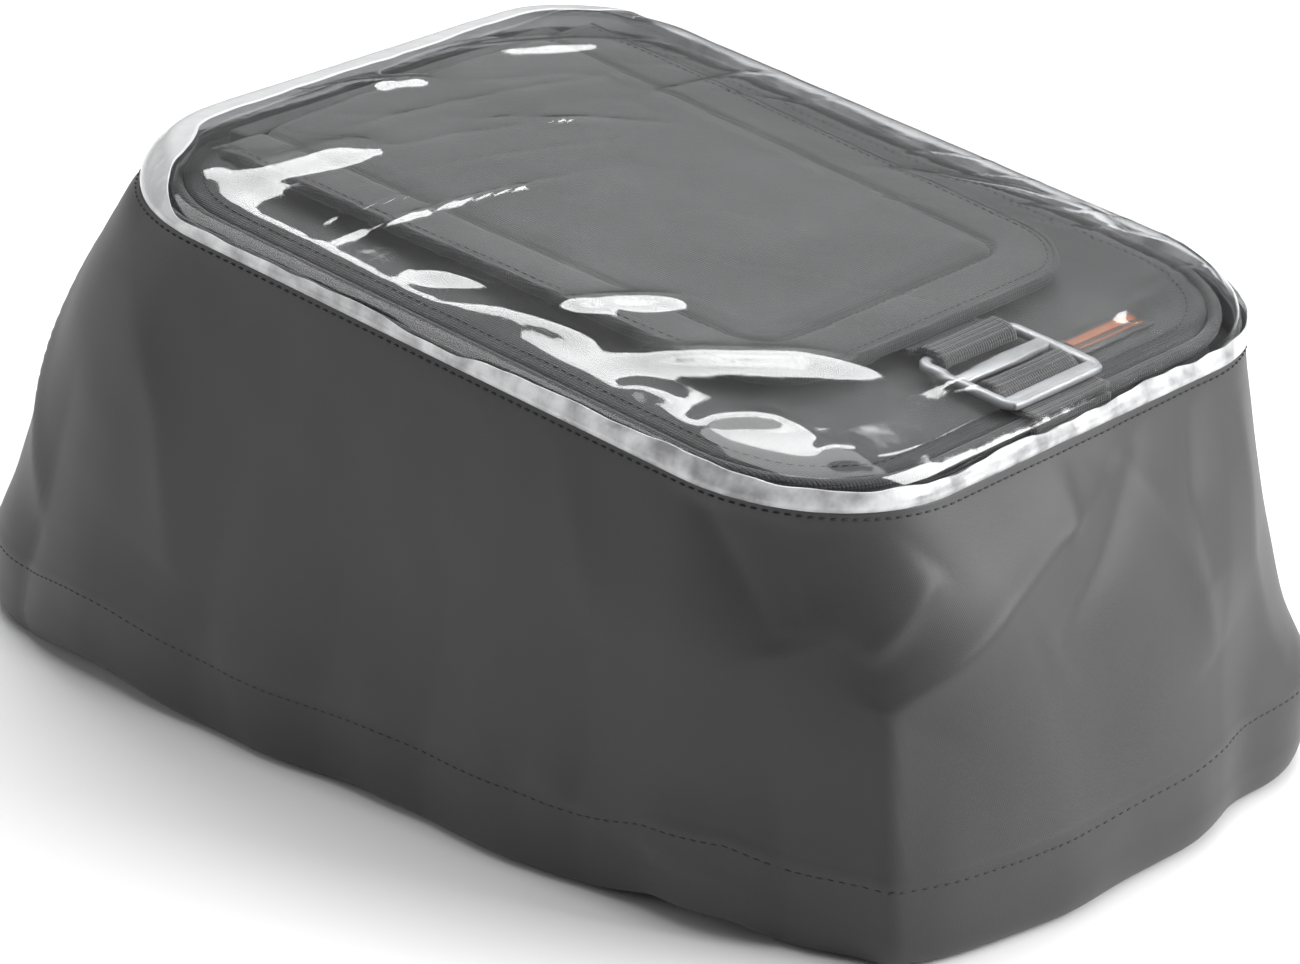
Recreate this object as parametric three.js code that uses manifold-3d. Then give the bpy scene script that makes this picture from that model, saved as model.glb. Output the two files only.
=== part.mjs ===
// Motorcycle tank bag under its rain cover: a flap-top bag on a quick-lock tank ring.
// Millimetres, +Z up. -Y is the rider's end, +Y the handlebar end, and the part is symmetric
// about x = 0 apart from its zip slider and badge. The origin is on the ground, under the centre.
import * as THREE from "three";
import { ParametricGeometry } from "three/addons/geometries/ParametricGeometry.js";
import { mergeVertices } from "three/addons/utils/BufferGeometryUtils.js";
import Module from "manifold-3d";

const wasm = await Module();
wasm.setup();

// ---------------------------------------------------------------- driving dimensions
const GAP = 0.3; // between pieces that touch

// Rain cover. The seam joins the clear window to the fabric skirt, in a plane that rises to the bars.
const SEAM = { halfWidth: 121, halfLength: 152, radius: 55, centreY: -27 };
const SEAM_Z_RIDER = 135;
const SEAM_Z_BARS = 170;
const HEM = { halfWidth: 131, halfLength: 221, radius: 98, centreY: 0 };
const HEM_Z = 12; // height at which the skirt is widest
const HEM_TUCK = 5; // how far the lower edge turns in
const HEM_FLOAT = 0.6; // gap between the lower edge and the ground
const SKIRT_WALL = 1.5;
const WINDOW_WALL = 1.2;
const WINDOW_LAP = 9; // how far the window reaches down behind the skirt
const WINDOW_RISE = 19; // crown above the seam
const WINDOW_SHOULDER = 11; // height of the window's edge above the seam
const SEAM_TAPE = { wall: 0.8, height: 8 };
const ELASTIC_RADIUS = 1.8;

// Bag body.
const BAG_TOP = { halfWidth: 110, halfLength: 139, radius: 46, centreY: -27 };
const BAG_FOOT = { halfWidth: 113, halfLength: 180, radius: 62, centreY: 0 };
const TOP_RISE = 4; // the full bag's top stands this much above the cover's seam
const PAD_THICKNESS = 10;
const BASE_THICKNESS = 2;
const BOARD_THICKNESS = 3;
const WALL = 5;
const TOP_THICKNESS = 2.5;
const PIPING_RADIUS = 2.4;

// Mouth of the bag and its zipped lid.
const MOUTH = { halfWidth: 62, halfLength: 97.5, radius: 28, centreY: -13 };
const LID_CLEARANCE = 4.6; // between the mouth and the lid, filled by the zip's two halves
const LID_THICKNESS = 3;
const ZIP_TOOTH = 2;
const SLIDER = { width: 8, length: 13, plate: 1.1, lugHeight: 3.5, lugWidth: 1.4, y: 48 };
const PULL = { width: 3.8, length: 24, thickness: 1.2, barrel: 0.9 };

// Flap over the lid.
const FLAP = { halfWidth: 78, radius: 30, freeY: -124, hingeY: 92 };
const FLAP_FLARE = 10; // how much wider each side is at the hinge
const FLAP_LIFT = 4.2; // underside above the top panel
const FLAP_OUTER = 2.5;
const FLAP_LINING = 1.2;
const FLAP_PAD = { inset: 22, rise: 1, radius: 16 };
const BINDING = 2.4;

// Closing strap and hook buckle.
const WEBBING = { width: 38, thickness: 1.8 };
const BUCKLE = { frontY: -168, backY: -131, rail: 3.6, bar: 5, thickness: 2.6 };
const STRAP_SIDE_CLEARANCE = 1;

// Tank ring under the base.
const RING = { radius: 80, socket: 58, wall: 5, ceiling: 2.5, float: 1 };
const RING_WELL = 84; // hole in the pad round the ring
const SCREW_CIRCLE = 69;
const SCREW = { shaft: 2, head: 3.8, headHeight: 2.2 };
const BACKING = { radius: 76, thickness: 2 };
const LOCK = { width: 60, thickness: 2.5, reach: 3, back: 62, tabWidth: 26, tabLength: 17, lip: 2 };
const LOCK_TRAVEL = 5;
const SPRING = { wire: 0.4, turns: 5, offset: 8 };

const CORNER_STEPS = 7;
const SIDE_STEPS = 6;
const END_STEPS = 4;

// ---------------------------------------------------------------- materials
const finish = (color, roughness, metalness = 0, extra = {}) =>
  new THREE.MeshStandardMaterial({ color, roughness, metalness, ...extra });
const coverFabric = finish(0x494949, 0.62);
const clearVinyl = finish(0xe8ecee, 0.08, 0, { transparent: true, opacity: 0.35 });
const bagFabric = finish(0x3b3b3c, 0.85);
const flapFabric = finish(0x5c5c5c, 0.8);
const webbing = finish(0x2b2b2c, 0.8);
const trim = finish(0x232324, 0.6);
const foam = finish(0x2a2a2a, 0.95);
const plastic = finish(0x202123, 0.5);
const metal = finish(0x8d9093, 0.35, 0.9);
const steel = finish(0xb4b6b8, 0.3, 1);
const elastic = finish(0x1c1c1c, 0.9);
const badgeRubber = finish(0xc26a3a, 0.6);

// ---------------------------------------------------------------- shape helpers
const part = new THREE.Group();

// Turns a closed mesh's faces outward, whichever way its parameters ran.
function facingOut(geometry) {
  const bare = geometry.clone();
  bare.deleteAttribute("normal");
  bare.deleteAttribute("uv");
  const solid = mergeVertices(bare, 1e-3);
  const at = solid.getAttribute("position");
  const index = solid.index.array;
  const [a, b, c] = [new THREE.Vector3(), new THREE.Vector3(), new THREE.Vector3()];
  let volume = 0;
  for (let i = 0; i < index.length; i += 3) {
    a.fromBufferAttribute(at, index[i]);
    b.fromBufferAttribute(at, index[i + 1]);
    c.fromBufferAttribute(at, index[i + 2]);
    volume += a.dot(b.cross(c));
  }
  if (volume < 0) {
    for (let i = 0; i < index.length; i += 3) [index[i + 1], index[i + 2]] = [index[i + 2], index[i + 1]];
  }
  return solid;
}

function addPiece(name, geometry, material, group = part) {
  const mesh = new THREE.Mesh(facingOut(geometry), material);
  mesh.geometry.computeVertexNormals();
  mesh.name = name;
  group.add(mesh);
  return mesh;
}

// The steps round a rounded rectangle: a share u from 0 to 1 gives a point, and whole steps fall on
// the arcs' ends. It starts in the middle of the +X side and runs towards +Y.
const OUTLINE_STEPS = 4 * CORNER_STEPS + 2 * SIDE_STEPS + 2 * END_STEPS;
function outlinePoint({ halfWidth, halfLength, radius, centreY }, u, inset = 0) {
  const w = halfWidth - inset;
  const l = halfLength - inset;
  const r = Math.max(radius - inset, 1);
  const step = (((u % 1) + 1) % 1) * OUTLINE_STEPS;
  const runs = [
    [SIDE_STEPS / 2, (s) => [w, s * (l - r)]],
    [CORNER_STEPS, (s) => arc(w - r, l - r, r, s * 90)],
    [END_STEPS, (s) => [(w - r) * (1 - 2 * s), l]],
    [CORNER_STEPS, (s) => arc(-w + r, l - r, r, 90 + s * 90)],
    [SIDE_STEPS, (s) => [-w, (l - r) * (1 - 2 * s)]],
    [CORNER_STEPS, (s) => arc(-w + r, -l + r, r, 180 + s * 90)],
    [END_STEPS, (s) => [(w - r) * (2 * s - 1), -l]],
    [CORNER_STEPS, (s) => arc(w - r, -l + r, r, 270 + s * 90)],
    [SIDE_STEPS / 2, (s) => [w, (l - r) * (s - 1)]],
  ];
  let left = step;
  for (const [count, at] of runs) {
    if (left <= count + 1e-9) {
      const [x, y] = at(Math.min(left / count, 1));
      return [x, y + centreY];
    }
    left -= count;
  }
  return [w, centreY];
}
function arc(cx, cy, radius, degrees) {
  const angle = THREE.MathUtils.degToRad(degrees);
  return [cx + radius * Math.cos(angle), cy + radius * Math.sin(angle)];
}

// A closed ring swept round an outline: profile is a closed loop of points, and place(u, p) puts one.
function sweptRing(profile, place) {
  const at = (u, v, target) => target.set(...place(u, profile[Math.round(v * profile.length) % profile.length]));
  return new ParametricGeometry(at, OUTLINE_STEPS, profile.length);
}

// A block mapped by place(a, b, c), each from 0 to 1.
function mappedBlock(stepsA, stepsB, stepsC, place) {
  const geometry = new THREE.BoxGeometry(1, 1, 1, stepsA, stepsB, stepsC);
  const at = geometry.getAttribute("position");
  for (let i = 0; i < at.count; i++) {
    at.setXYZ(i, ...place(at.getX(i) + 0.5, at.getY(i) + 0.5, at.getZ(i) + 0.5));
  }
  return geometry;
}

// The seam plane, which the bag's top follows.
const SEAM_SLOPE = (SEAM_Z_BARS - SEAM_Z_RIDER) / (2 * SEAM.halfLength);
const seamZ = (y) => SEAM_Z_RIDER + SEAM_SLOPE * (y - SEAM.centreY + SEAM.halfLength);
function onTop(geometry) {
  const shear = new THREE.Matrix4().set(1, 0, 0, 0, 0, 1, 0, 0, 0, SEAM_SLOPE, 1, seamZ(0), 0, 0, 0, 1);
  return geometry.applyMatrix4(shear);
}

// What belongs to the bag's top stands TOP_RISE above the cover's seam.
function onBag(geometry) {
  return onTop(geometry).translate(0, 0, TOP_RISE);
}

function roundedShape(outline, inset = 0) {
  const shape = new THREE.Shape();
  const count = OUTLINE_STEPS;
  for (let i = 0; i < count; i++) {
    const [x, y] = outlinePoint(outline, i / count, inset);
    if (i === 0) shape.moveTo(x, y);
    else shape.lineTo(x, y);
  }
  return shape;
}
function circlePath(x, y, radius, steps = 24) {
  const path = new THREE.Path();
  for (let i = 0; i < steps; i++) {
    const [px, py] = arc(x, y, radius, (360 * i) / steps);
    if (i === 0) path.moveTo(px, py);
    else path.lineTo(px, py);
  }
  return path;
}
function flatPlate(shape, low, high) {
  const geometry = new THREE.ExtrudeGeometry(shape, { depth: high - low, bevelEnabled: false });
  return geometry.translate(0, 0, low);
}
function block(width, length, height, x, y, z) {
  return new THREE.BoxGeometry(width, length, height).translate(x, y, z);
}
// A flat strip bent in the YZ plane: line is its middle, as [y, z] points, at an even thickness.
function bentStrip(line, width, thickness) {
  const side = (i) => {
    const [y0, z0] = line[Math.max(i - 1, 0)];
    const [y1, z1] = line[Math.min(i + 1, line.length - 1)];
    const length = Math.hypot(y1 - y0, z1 - z0);
    return [-(z1 - z0) / length, (y1 - y0) / length];
  };
  return mappedBlock(1, 1, line.length - 1, (a, b, c) => {
    const i = Math.round(c * (line.length - 1));
    const [ny, nz] = side(i);
    const off = (b - 0.5) * thickness;
    return [(a - 0.5) * width, line[i][0] + ny * off, line[i][1] + nz * off];
  });
}

function toSolid(geometry) {
  const merged = facingOut(geometry);
  const mesh = new wasm.Mesh({
    numProp: 3,
    vertProperties: new Float32Array(merged.getAttribute("position").array),
    triVerts: new Uint32Array(merged.index.array),
  });
  return new wasm.Manifold(mesh);
}
function toGeometry(solid) {
  const mesh = solid.getMesh();
  return new THREE.BufferGeometry()
    .setAttribute("position", new THREE.BufferAttribute(Float32Array.from(mesh.vertProperties), 3))
    .setIndex(new THREE.BufferAttribute(Uint32Array.from(mesh.triVerts), 1));
}
function cylinder(radius, low, high, x = 0, y = 0, steps = 24) {
  return new THREE.CylinderGeometry(radius, radius, high - low, steps)
    .rotateX(Math.PI / 2)
    .translate(x, y, (low + high) / 2);
}

// ---------------------------------------------------------------- rain cover
// The skirt's outline at share t of the way from the seam (0) down to the hem (1).
function skirtPoint(u, t, inset) {
  const spread = Math.pow(t, 0.85);
  const mix = (key) => THREE.MathUtils.lerp(SEAM[key], HEM[key], spread);
  const outline = { halfWidth: mix("halfWidth"), halfLength: mix("halfLength"), radius: mix("radius"), centreY: mix("centreY") };
  const [, seamY] = outlinePoint(SEAM, u);
  const [x, y] = outlinePoint(outline, u, inset);
  return [x, y, THREE.MathUtils.lerp(seamZ(seamY), HEM_Z, t)];
}

function rainCover() {
  const body = new THREE.Group();
  const levels = [0, 0.14, 0.3, 0.48, 0.66, 0.84, 1];
  const sides = levels.map((t) => [{ t, inset: 0 }, { t, inset: SKIRT_WALL }]);
  const hem = [
    [{ t: 1, inset: HEM_TUCK * 0.3, z: HEM_Z / 2 }, { t: 1, inset: HEM_TUCK * 0.3 + SKIRT_WALL, z: HEM_Z / 2 + 0.6 }],
    [{ t: 1, inset: HEM_TUCK, z: HEM_FLOAT }, { t: 1, inset: HEM_TUCK + SKIRT_WALL, z: HEM_FLOAT + 0.8 }],
  ];
  const rows = [...sides, ...hem];
  const names = ["cover_bars_panel", "cover_left_panel", "cover_rider_panel", "cover_right_panel"];
  fourPanels(names, coverFabric, rows.length - 1, body, (u, b, c) => {
    const { t, inset, z } = rows[Math.round(c * (rows.length - 1))][Math.round(b)];
    const point = skirtPoint(u, t, inset);
    return [point[0], point[1], z ?? point[2]];
  });

  addPiece("cover_window", coverWindow(), clearVinyl, body);

  const tapeInset = SKIRT_WALL + GAP + WINDOW_WALL + GAP;
  const tapeProfile = [
    [tapeInset, -SEAM_TAPE.height],
    [tapeInset, 0],
    [tapeInset + SEAM_TAPE.wall, 0],
    [tapeInset + SEAM_TAPE.wall, -SEAM_TAPE.height],
  ];
  const tape = sweptRing(tapeProfile, (u, [inset, z]) => [...outlinePoint(SEAM, u, inset), z]);
  addPiece("cover_seam_tape", onTop(tape), trim, body);

  // The hem's fold is a channel, open inward, and the elastic lies in it.
  const channelInset = HEM_TUCK + SKIRT_WALL + 3 * GAP;
  const channelSide = 2 * ELASTIC_RADIUS + 2 * GAP;
  const wall = 0.8;
  const low = HEM_FLOAT;
  const deep = channelSide + wall;
  const channelProfile = [
    [channelInset, low],
    [channelInset, low + channelSide + 2 * wall],
    [channelInset + deep, low + channelSide + 2 * wall],
    [channelInset + deep, low + channelSide + wall],
    [channelInset + wall, low + channelSide + wall],
    [channelInset + wall, low + wall],
    [channelInset + deep, low + wall],
    [channelInset + deep, low],
  ];
  const channel = sweptRing(channelProfile, (u, [inset, z]) => [...outlinePoint(HEM, u, inset), z]);
  addPiece("cover_hem_fold", channel, coverFabric, body);

  const cordProfile = [0, 60, 120, 180, 240, 300].map((a) => arc(0, 0, ELASTIC_RADIUS, a));
  const cordInset = channelInset + wall + GAP + ELASTIC_RADIUS;
  const cordZ = low + wall + GAP + ELASTIC_RADIUS;
  const cord = sweptRing(cordProfile, (u, [d, h]) => [...outlinePoint(HEM, u, cordInset + d), cordZ + h]);
  addPiece("cover_hem_elastic", cord, elastic, body);
  return body;
}

// The clear window: a lap behind the skirt, a rounded shoulder and a low crown, as one sheet.
function coverWindow() {
  const lap = SKIRT_WALL + GAP;
  const outer = [
    [lap, -WINDOW_LAP],
    [lap, 0],
    [lap + 2, WINDOW_SHOULDER * 0.6],
    [lap + 7, WINDOW_SHOULDER],
    [24, WINDOW_RISE - 2],
    [60, WINDOW_RISE - 0.6],
  ];
  const inner = [
    [lap + WINDOW_WALL, -WINDOW_LAP],
    [lap + WINDOW_WALL, 0],
    [lap + WINDOW_WALL + 1.8, WINDOW_SHOULDER * 0.6 - 0.8],
    [lap + WINDOW_WALL + 6, WINDOW_SHOULDER - WINDOW_WALL],
    [24.5, WINDOW_RISE - 2 - WINDOW_WALL],
    [60, WINDOW_RISE - 0.6 - WINDOW_WALL],
  ];
  const rows = [null, ...[...outer].reverse(), ...inner, null];
  const place = (u, v, target) => {
    const j = Math.round(v * (rows.length - 1));
    if (rows[j]) {
      const [inset, z] = rows[j];
      target.set(...outlinePoint(SEAM, u, inset), z);
    } else {
      target.set(0, SEAM.centreY, j === 0 ? WINDOW_RISE : WINDOW_RISE - WINDOW_WALL);
    }
  };
  return onTop(new ParametricGeometry(place, OUTLINE_STEPS, rows.length - 1));
}

// ---------------------------------------------------------------- bag body
const BASE_LOW = PAD_THICKNESS + GAP;
const BOARD_LOW = BASE_LOW + BASE_THICKNESS + GAP;
const BOARD_HIGH = BOARD_LOW + BOARD_THICKNESS;
const WALL_LOW = BOARD_LOW;
const TOP_LOW = -TOP_THICKNESS; // in the bag top's own heights

// The wall's outer outline at share t of the way from the foot (0) up to the top (1).
function wallPoint(u, t, inset) {
  const mix = (key) => THREE.MathUtils.lerp(BAG_FOOT[key], BAG_TOP[key], t);
  const outline = { halfWidth: mix("halfWidth"), halfLength: mix("halfLength"), radius: mix("radius"), centreY: mix("centreY") };
  const [, topY] = outlinePoint(BAG_TOP, u, inset);
  const [x, y] = outlinePoint(outline, u, inset);
  return [x, y, THREE.MathUtils.lerp(WALL_LOW, seamZ(topY) + TOP_RISE + TOP_LOW - GAP, t)];
}

// Four panels round an outline, sewn together at the middle of each corner.
const PANEL_SEAM = 0.02; // half the gap at a seam, in steps round the outline
function fourPanels(names, material, heightSteps, group, place) {
  const corner = CORNER_STEPS / 2;
  const first = SIDE_STEPS / 2 + corner;
  const cuts = [first, first + CORNER_STEPS + END_STEPS];
  cuts.push(cuts[1] + CORNER_STEPS + SIDE_STEPS, OUTLINE_STEPS - first, OUTLINE_STEPS + first);
  names.forEach((name, k) => {
    const span = cuts[k + 1] - cuts[k];
    const panel = mappedBlock(Math.round(span), 1, heightSteps, (a, b, c) => {
      const step = cuts[k] + THREE.MathUtils.clamp(a * span, PANEL_SEAM, span - PANEL_SEAM);
      return place(step / OUTLINE_STEPS, b, c);
    });
    addPiece(name, panel, material, group);
  });
}

function wallPanels() {
  const names = ["bars_end_panel", "left_side_panel", "rider_end_panel", "right_side_panel"];
  fourPanels(names, bagFabric, 4, part, (u, b, c) => wallPoint(u, c, b * WALL));
}

function pipingRing(name, outline, outset, z, shearTop) {
  const section = [0, 60, 120, 180, 240, 300].map((a) => arc(0, 0, PIPING_RADIUS, a));
  const ring = sweptRing(section, (u, [d, h]) => [...outlinePoint(outline, u, d - outset), z + h]);
  addPiece(name, shearTop ? onBag(ring) : ring, trim);
}

function screwPlaces() {
  return [45, 135, 225, 315].map((a) => arc(0, 0, SCREW_CIRCLE, a));
}
function withScrewHoles(shape) {
  for (const [x, y] of screwPlaces()) shape.holes.push(circlePath(x, y, SCREW.shaft + GAP, 10));
  return shape;
}

function bagBase() {
  const pad = roundedShape(BAG_FOOT, 2);
  const channel = LOCK.tabWidth / 2 + 4;
  const well = new THREE.Path();
  const mouthAngle = THREE.MathUtils.radToDeg(Math.asin(channel / RING_WELL));
  const wellSteps = 28;
  for (let i = 0; i <= wellSteps; i++) {
    const angle = -90 + mouthAngle + ((360 - 2 * mouthAngle) * i) / wellSteps;
    const [x, y] = arc(0, 0, RING_WELL, angle);
    if (i === 0) well.moveTo(x, y);
    else well.lineTo(x, y);
  }
  const channelEnd = -(RING.radius + LOCK.tabLength + LOCK_TRAVEL + 12);
  well.lineTo(-channel, channelEnd);
  well.lineTo(channel, channelEnd);
  pad.holes.push(well);
  addPiece("base_pad", flatPlate(pad, 0, PAD_THICKNESS), foam);

  addPiece("base_panel", flatPlate(withScrewHoles(roundedShape(BAG_FOOT)), BASE_LOW, BASE_LOW + BASE_THICKNESS), bagFabric);
  const board = withScrewHoles(roundedShape(BAG_FOOT, WALL + 2));
  addPiece("base_board", flatPlate(board, BOARD_LOW, BOARD_HIGH), plastic);
}

function topPanel() {
  const panel = roundedShape(BAG_TOP);
  panel.holes.push(new THREE.Path(roundedShape(MOUTH).getPoints().reverse()));
  addPiece("top_panel", onBag(flatPlate(panel, TOP_LOW, 0)), bagFabric);
}

// One half of the U-shaped zip, between two insets from the mouth's edge.
function zipHalf(outline, insetOuter, insetInner, low, high) {
  const first = OUTLINE_STEPS * 0.5 - SIDE_STEPS / 2;
  const from = first - 0.2;
  const to = OUTLINE_STEPS + SIDE_STEPS / 2 + 0.2;
  const steps = 2 * CORNER_STEPS + 2 * SIDE_STEPS + END_STEPS;
  return mappedBlock(steps, 1, 1, (a, b, c) => {
    const step = from + a * (to - from);
    const [x, y] = outlinePoint(outline, step / OUTLINE_STEPS, THREE.MathUtils.lerp(insetOuter, insetInner, b));
    return [x, y, THREE.MathUtils.lerp(low, high, c)];
  });
}

function zipAndLid() {
  const outerHalf = zipHalf(MOUTH, GAP, GAP + ZIP_TOOTH, -1.8, 0);
  addPiece("zip_body_half", onBag(outerHalf), trim);

  const slider = new THREE.Group();
  const x = MOUTH.halfWidth - ZIP_TOOTH - 1.5 * GAP;
  const lugY = SLIDER.y + SLIDER.length / 2 - 3;
  let sliderSolid = toSolid(block(SLIDER.width, SLIDER.length, SLIDER.plate, x, SLIDER.y, GAP + SLIDER.plate / 2));
  for (const side of [-1, 1]) {
    const lugX = x + (side * (SLIDER.width - SLIDER.lugWidth)) / 2;
    const lug = block(SLIDER.lugWidth, 4, SLIDER.lugHeight - 0.4, lugX, lugY, GAP + 0.4 + (SLIDER.lugHeight - 0.4) / 2);
    sliderSolid = sliderSolid.add(toSolid(lug));
  }
  addPiece("zip_slider", onBag(toGeometry(sliderSolid)), steel, slider);

  const pullZ = GAP + SLIDER.plate + GAP + PULL.barrel;
  const barrelLength = SLIDER.width - 2 * SLIDER.lugWidth - 2 * GAP;
  const barrel = new THREE.CylinderGeometry(PULL.barrel, PULL.barrel, barrelLength, 12)
    .rotateZ(Math.PI / 2)
    .translate(x, lugY, pullZ);
  const tongue = block(PULL.width, PULL.length, PULL.thickness, x, lugY - PULL.length / 2, pullZ);
  addPiece("zip_pull", onBag(toGeometry(toSolid(barrel).add(toSolid(tongue)))), steel, slider);
  part.add(slider);

  const lid = new THREE.Group();
  const lidShape = roundedShape(MOUTH, LID_CLEARANCE);
  addPiece("zip_lid", onBag(flatPlate(lidShape, -LID_THICKNESS, 0)), bagFabric, lid);
  const innerHalf = zipHalf(MOUTH, 2 * GAP + ZIP_TOOTH, LID_CLEARANCE - GAP, -1.8, 0);
  addPiece("zip_lid_half", onBag(innerHalf), trim, lid);
  part.add(lid);

  const lidEnd = MOUTH.centreY + MOUTH.halfLength - LID_CLEARANCE;
  const tapeLength = LID_CLEARANCE - 3 * GAP;
  const tape = block(2 * (MOUTH.halfWidth - MOUTH.radius) - 2, tapeLength, 1.5, 0, lidEnd + 2 * GAP + tapeLength / 2, -0.75);
  addPiece("lid_hinge_tape", onBag(tape), trim);
}

// ---------------------------------------------------------------- flap
// The flap's outline: a straight hinge edge and two rounded free corners. Points run from the
// hinge's right end to its left end by way of the free end.
const FLAP_CORNER_STEPS = 6;
function flapOutline(inset, radius = FLAP.radius) {
  const w = FLAP.halfWidth - inset;
  const hingeW = FLAP.halfWidth + FLAP_FLARE - inset;
  const free = FLAP.freeY + inset;
  const r = Math.max(radius - inset / 2, 4);
  const right = [[hingeW, FLAP.hingeY - Math.max(inset - BINDING, 0)]];
  for (let i = 0; i <= FLAP_CORNER_STEPS; i++) right.push(arc(w - r, free + r, r, -(90 * i) / FLAP_CORNER_STEPS));
  const left = right.map(([x, y]) => [-x, y]).reverse();
  return [...right, ...left];
}
function shapeOf(points) {
  return new THREE.Shape(points.map(([x, y]) => new THREE.Vector2(x, y)));
}
function flap() {
  const body = new THREE.Group();
  const edge = BINDING + GAP;
  const liningLow = FLAP_LIFT;
  const outerLow = liningLow + FLAP_LINING + GAP;
  const outerHigh = outerLow + FLAP_OUTER;
  addPiece("flap_lining", onBag(flatPlate(shapeOf(flapOutline(edge)), liningLow, liningLow + FLAP_LINING)), bagFabric, body);
  addPiece("flap_outer", onBag(flatPlate(shapeOf(flapOutline(edge)), outerLow, outerHigh)), flapFabric, body);
  const padShape = shapeOf(flapOutline(FLAP_PAD.inset, FLAP_PAD.radius));
  const pad = flatPlate(padShape, outerHigh + GAP, outerHigh + GAP + FLAP_PAD.rise);
  addPiece("flap_map_panel", onBag(pad), flapFabric, body);

  // The binding runs round the free edges only, so it is a bent bar and not a ring.
  const outer = flapOutline(0);
  const inner = flapOutline(BINDING);
  const binding = mappedBlock(outer.length - 1, 1, 1, (a, b, c) => {
    const i = Math.round(a * (outer.length - 1));
    const x = THREE.MathUtils.lerp(outer[i][0], inner[i][0], b);
    const y = THREE.MathUtils.lerp(outer[i][1], inner[i][1], b);
    return [x, y, THREE.MathUtils.lerp(liningLow, outerHigh, c)];
  });
  addPiece("flap_binding", onBag(binding), trim, body);
  part.add(body);

  const stripLength = 10;
  const strip = block(2 * FLAP.halfWidth, stripLength, outerHigh - GAP, 0, FLAP.hingeY + GAP + stripLength / 2, outerHigh / 2 + GAP / 2);
  addPiece("flap_hinge_strip", onBag(strip), bagFabric);
}

// ---------------------------------------------------------------- strap and buckle
function strapAndBuckle() {
  const half = WEBBING.thickness / 2;
  const frameHalf = WEBBING.width / 2 + STRAP_SIDE_CLEARANCE + BUCKLE.rail;
  const frameLow = GAP + WEBBING.thickness + GAP;
  const frameHigh = frameLow + BUCKLE.thickness;
  const length = BUCKLE.backY - BUCKLE.frontY;

  // Hook buckle: a flat frame with a hook bar towards the flap and an adjuster of three bars.
  const bars = {
    hook: BUCKLE.backY - BUCKLE.bar / 2,
    inner: BUCKLE.backY - 0.42 * length,
    middle: BUCKLE.backY - 0.66 * length,
    outer: BUCKLE.frontY + BUCKLE.bar / 2,
  };
  const frameMid = (frameLow + frameHigh) / 2;
  const pieces = [-1, 1].map((side) => {
    const x = side * (frameHalf - BUCKLE.rail / 2);
    return block(BUCKLE.rail, length, BUCKLE.thickness, x, (BUCKLE.frontY + BUCKLE.backY) / 2, frameMid);
  });
  const cross = (y, depth, low, high) => block(2 * frameHalf - 1, depth, high - low, 0, y, (low + high) / 2);
  pieces.push(cross(bars.hook, 3, frameLow, frameHigh));
  pieces.push(cross(bars.inner, BUCKLE.bar, frameLow, frameHigh));
  pieces.push(cross(bars.outer, BUCKLE.bar, frameLow, frameHigh));
  pieces.push(cross(bars.middle, 3, frameLow, frameLow + 0.8));
  const frame = pieces.map(toSolid).reduce((a, b) => a.add(b));
  const swing = new THREE.Group();
  addPiece("hook_buckle", onBag(toGeometry(frame)), metal, swing);

  // It comes round the piping at the rider's edge, where it bends when the buckle is thrown back.
  const hingeY = BAG_TOP.centreY - BAG_TOP.halfLength - 2 * PIPING_RADIUS - 2 * GAP - half;
  // The strap comes up from the rider's edge, under the outer bar, over the middle one and back down.
  const under = frameLow - GAP - half;
  const over = frameLow + 0.8 + GAP + half;
  const threaded = [
    [hingeY, under],
    [BUCKLE.frontY - 2, under],
    [BUCKLE.frontY + BUCKLE.bar + 0.6, under],
    [bars.middle - 2.6, over],
    [bars.middle + 2.6, over],
    [bars.inner - BUCKLE.bar / 2 - 0.6, under],
    [bars.inner + 3, under],
  ];
  addPiece("rider_strap_upper", onBag(bentStrip(threaded, WEBBING.width, WEBBING.thickness)), webbing, swing);
  part.add(swing);

  // The lower strap: sewn down the rider's end of the bag.
  const wallAt = (t) => {
    const [, y, z] = wallPoint(0.75, t, 0);
    return [y - half - GAP, z];
  };
  const lower = [0.45, 0.6, 0.75, 0.9].map(wallAt);
  lower.push([hingeY, seamZ(hingeY) + TOP_RISE - 2 * PIPING_RADIUS - 2]);
  lower.push([hingeY, seamZ(hingeY) + TOP_RISE - 1]);
  addPiece("rider_strap_lower", bentStrip(lower, WEBBING.width, WEBBING.thickness), webbing);
  const patchFrom = wallAt(0.34);
  const patchTo = wallAt(0.44);
  const patch = bentStrip([[patchFrom[0], patchFrom[1]], [patchTo[0], patchTo[1]]], WEBBING.width + 8, WEBBING.thickness);
  addPiece("strap_anchor_patch", patch, trim);

  // The flap's strap: under the flap's end, then over the hook bar with its end turned down.
  const flapUnder = FLAP_LIFT - GAP - half;
  const hookOver = frameHigh + GAP + half;
  const flapStrap = [
    [FLAP.freeY + 24, flapUnder],
    [FLAP.freeY - 2, flapUnder],
    [FLAP.freeY - 6, hookOver],
    [bars.hook - 2.8, hookOver],
    [bars.hook - 4.4, hookOver - 1.4],
    [bars.hook - 4.6, frameLow],
  ];
  addPiece("flap_strap", onBag(bentStrip(flapStrap, WEBBING.width - 2, WEBBING.thickness)), webbing);

  const badge = block(40, 11, 1.2, 47, BAG_TOP.centreY - BAG_TOP.halfLength + 16, GAP + 0.6);
  addPiece("plain_badge", onBag(badge), badgeRubber);
}

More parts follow.
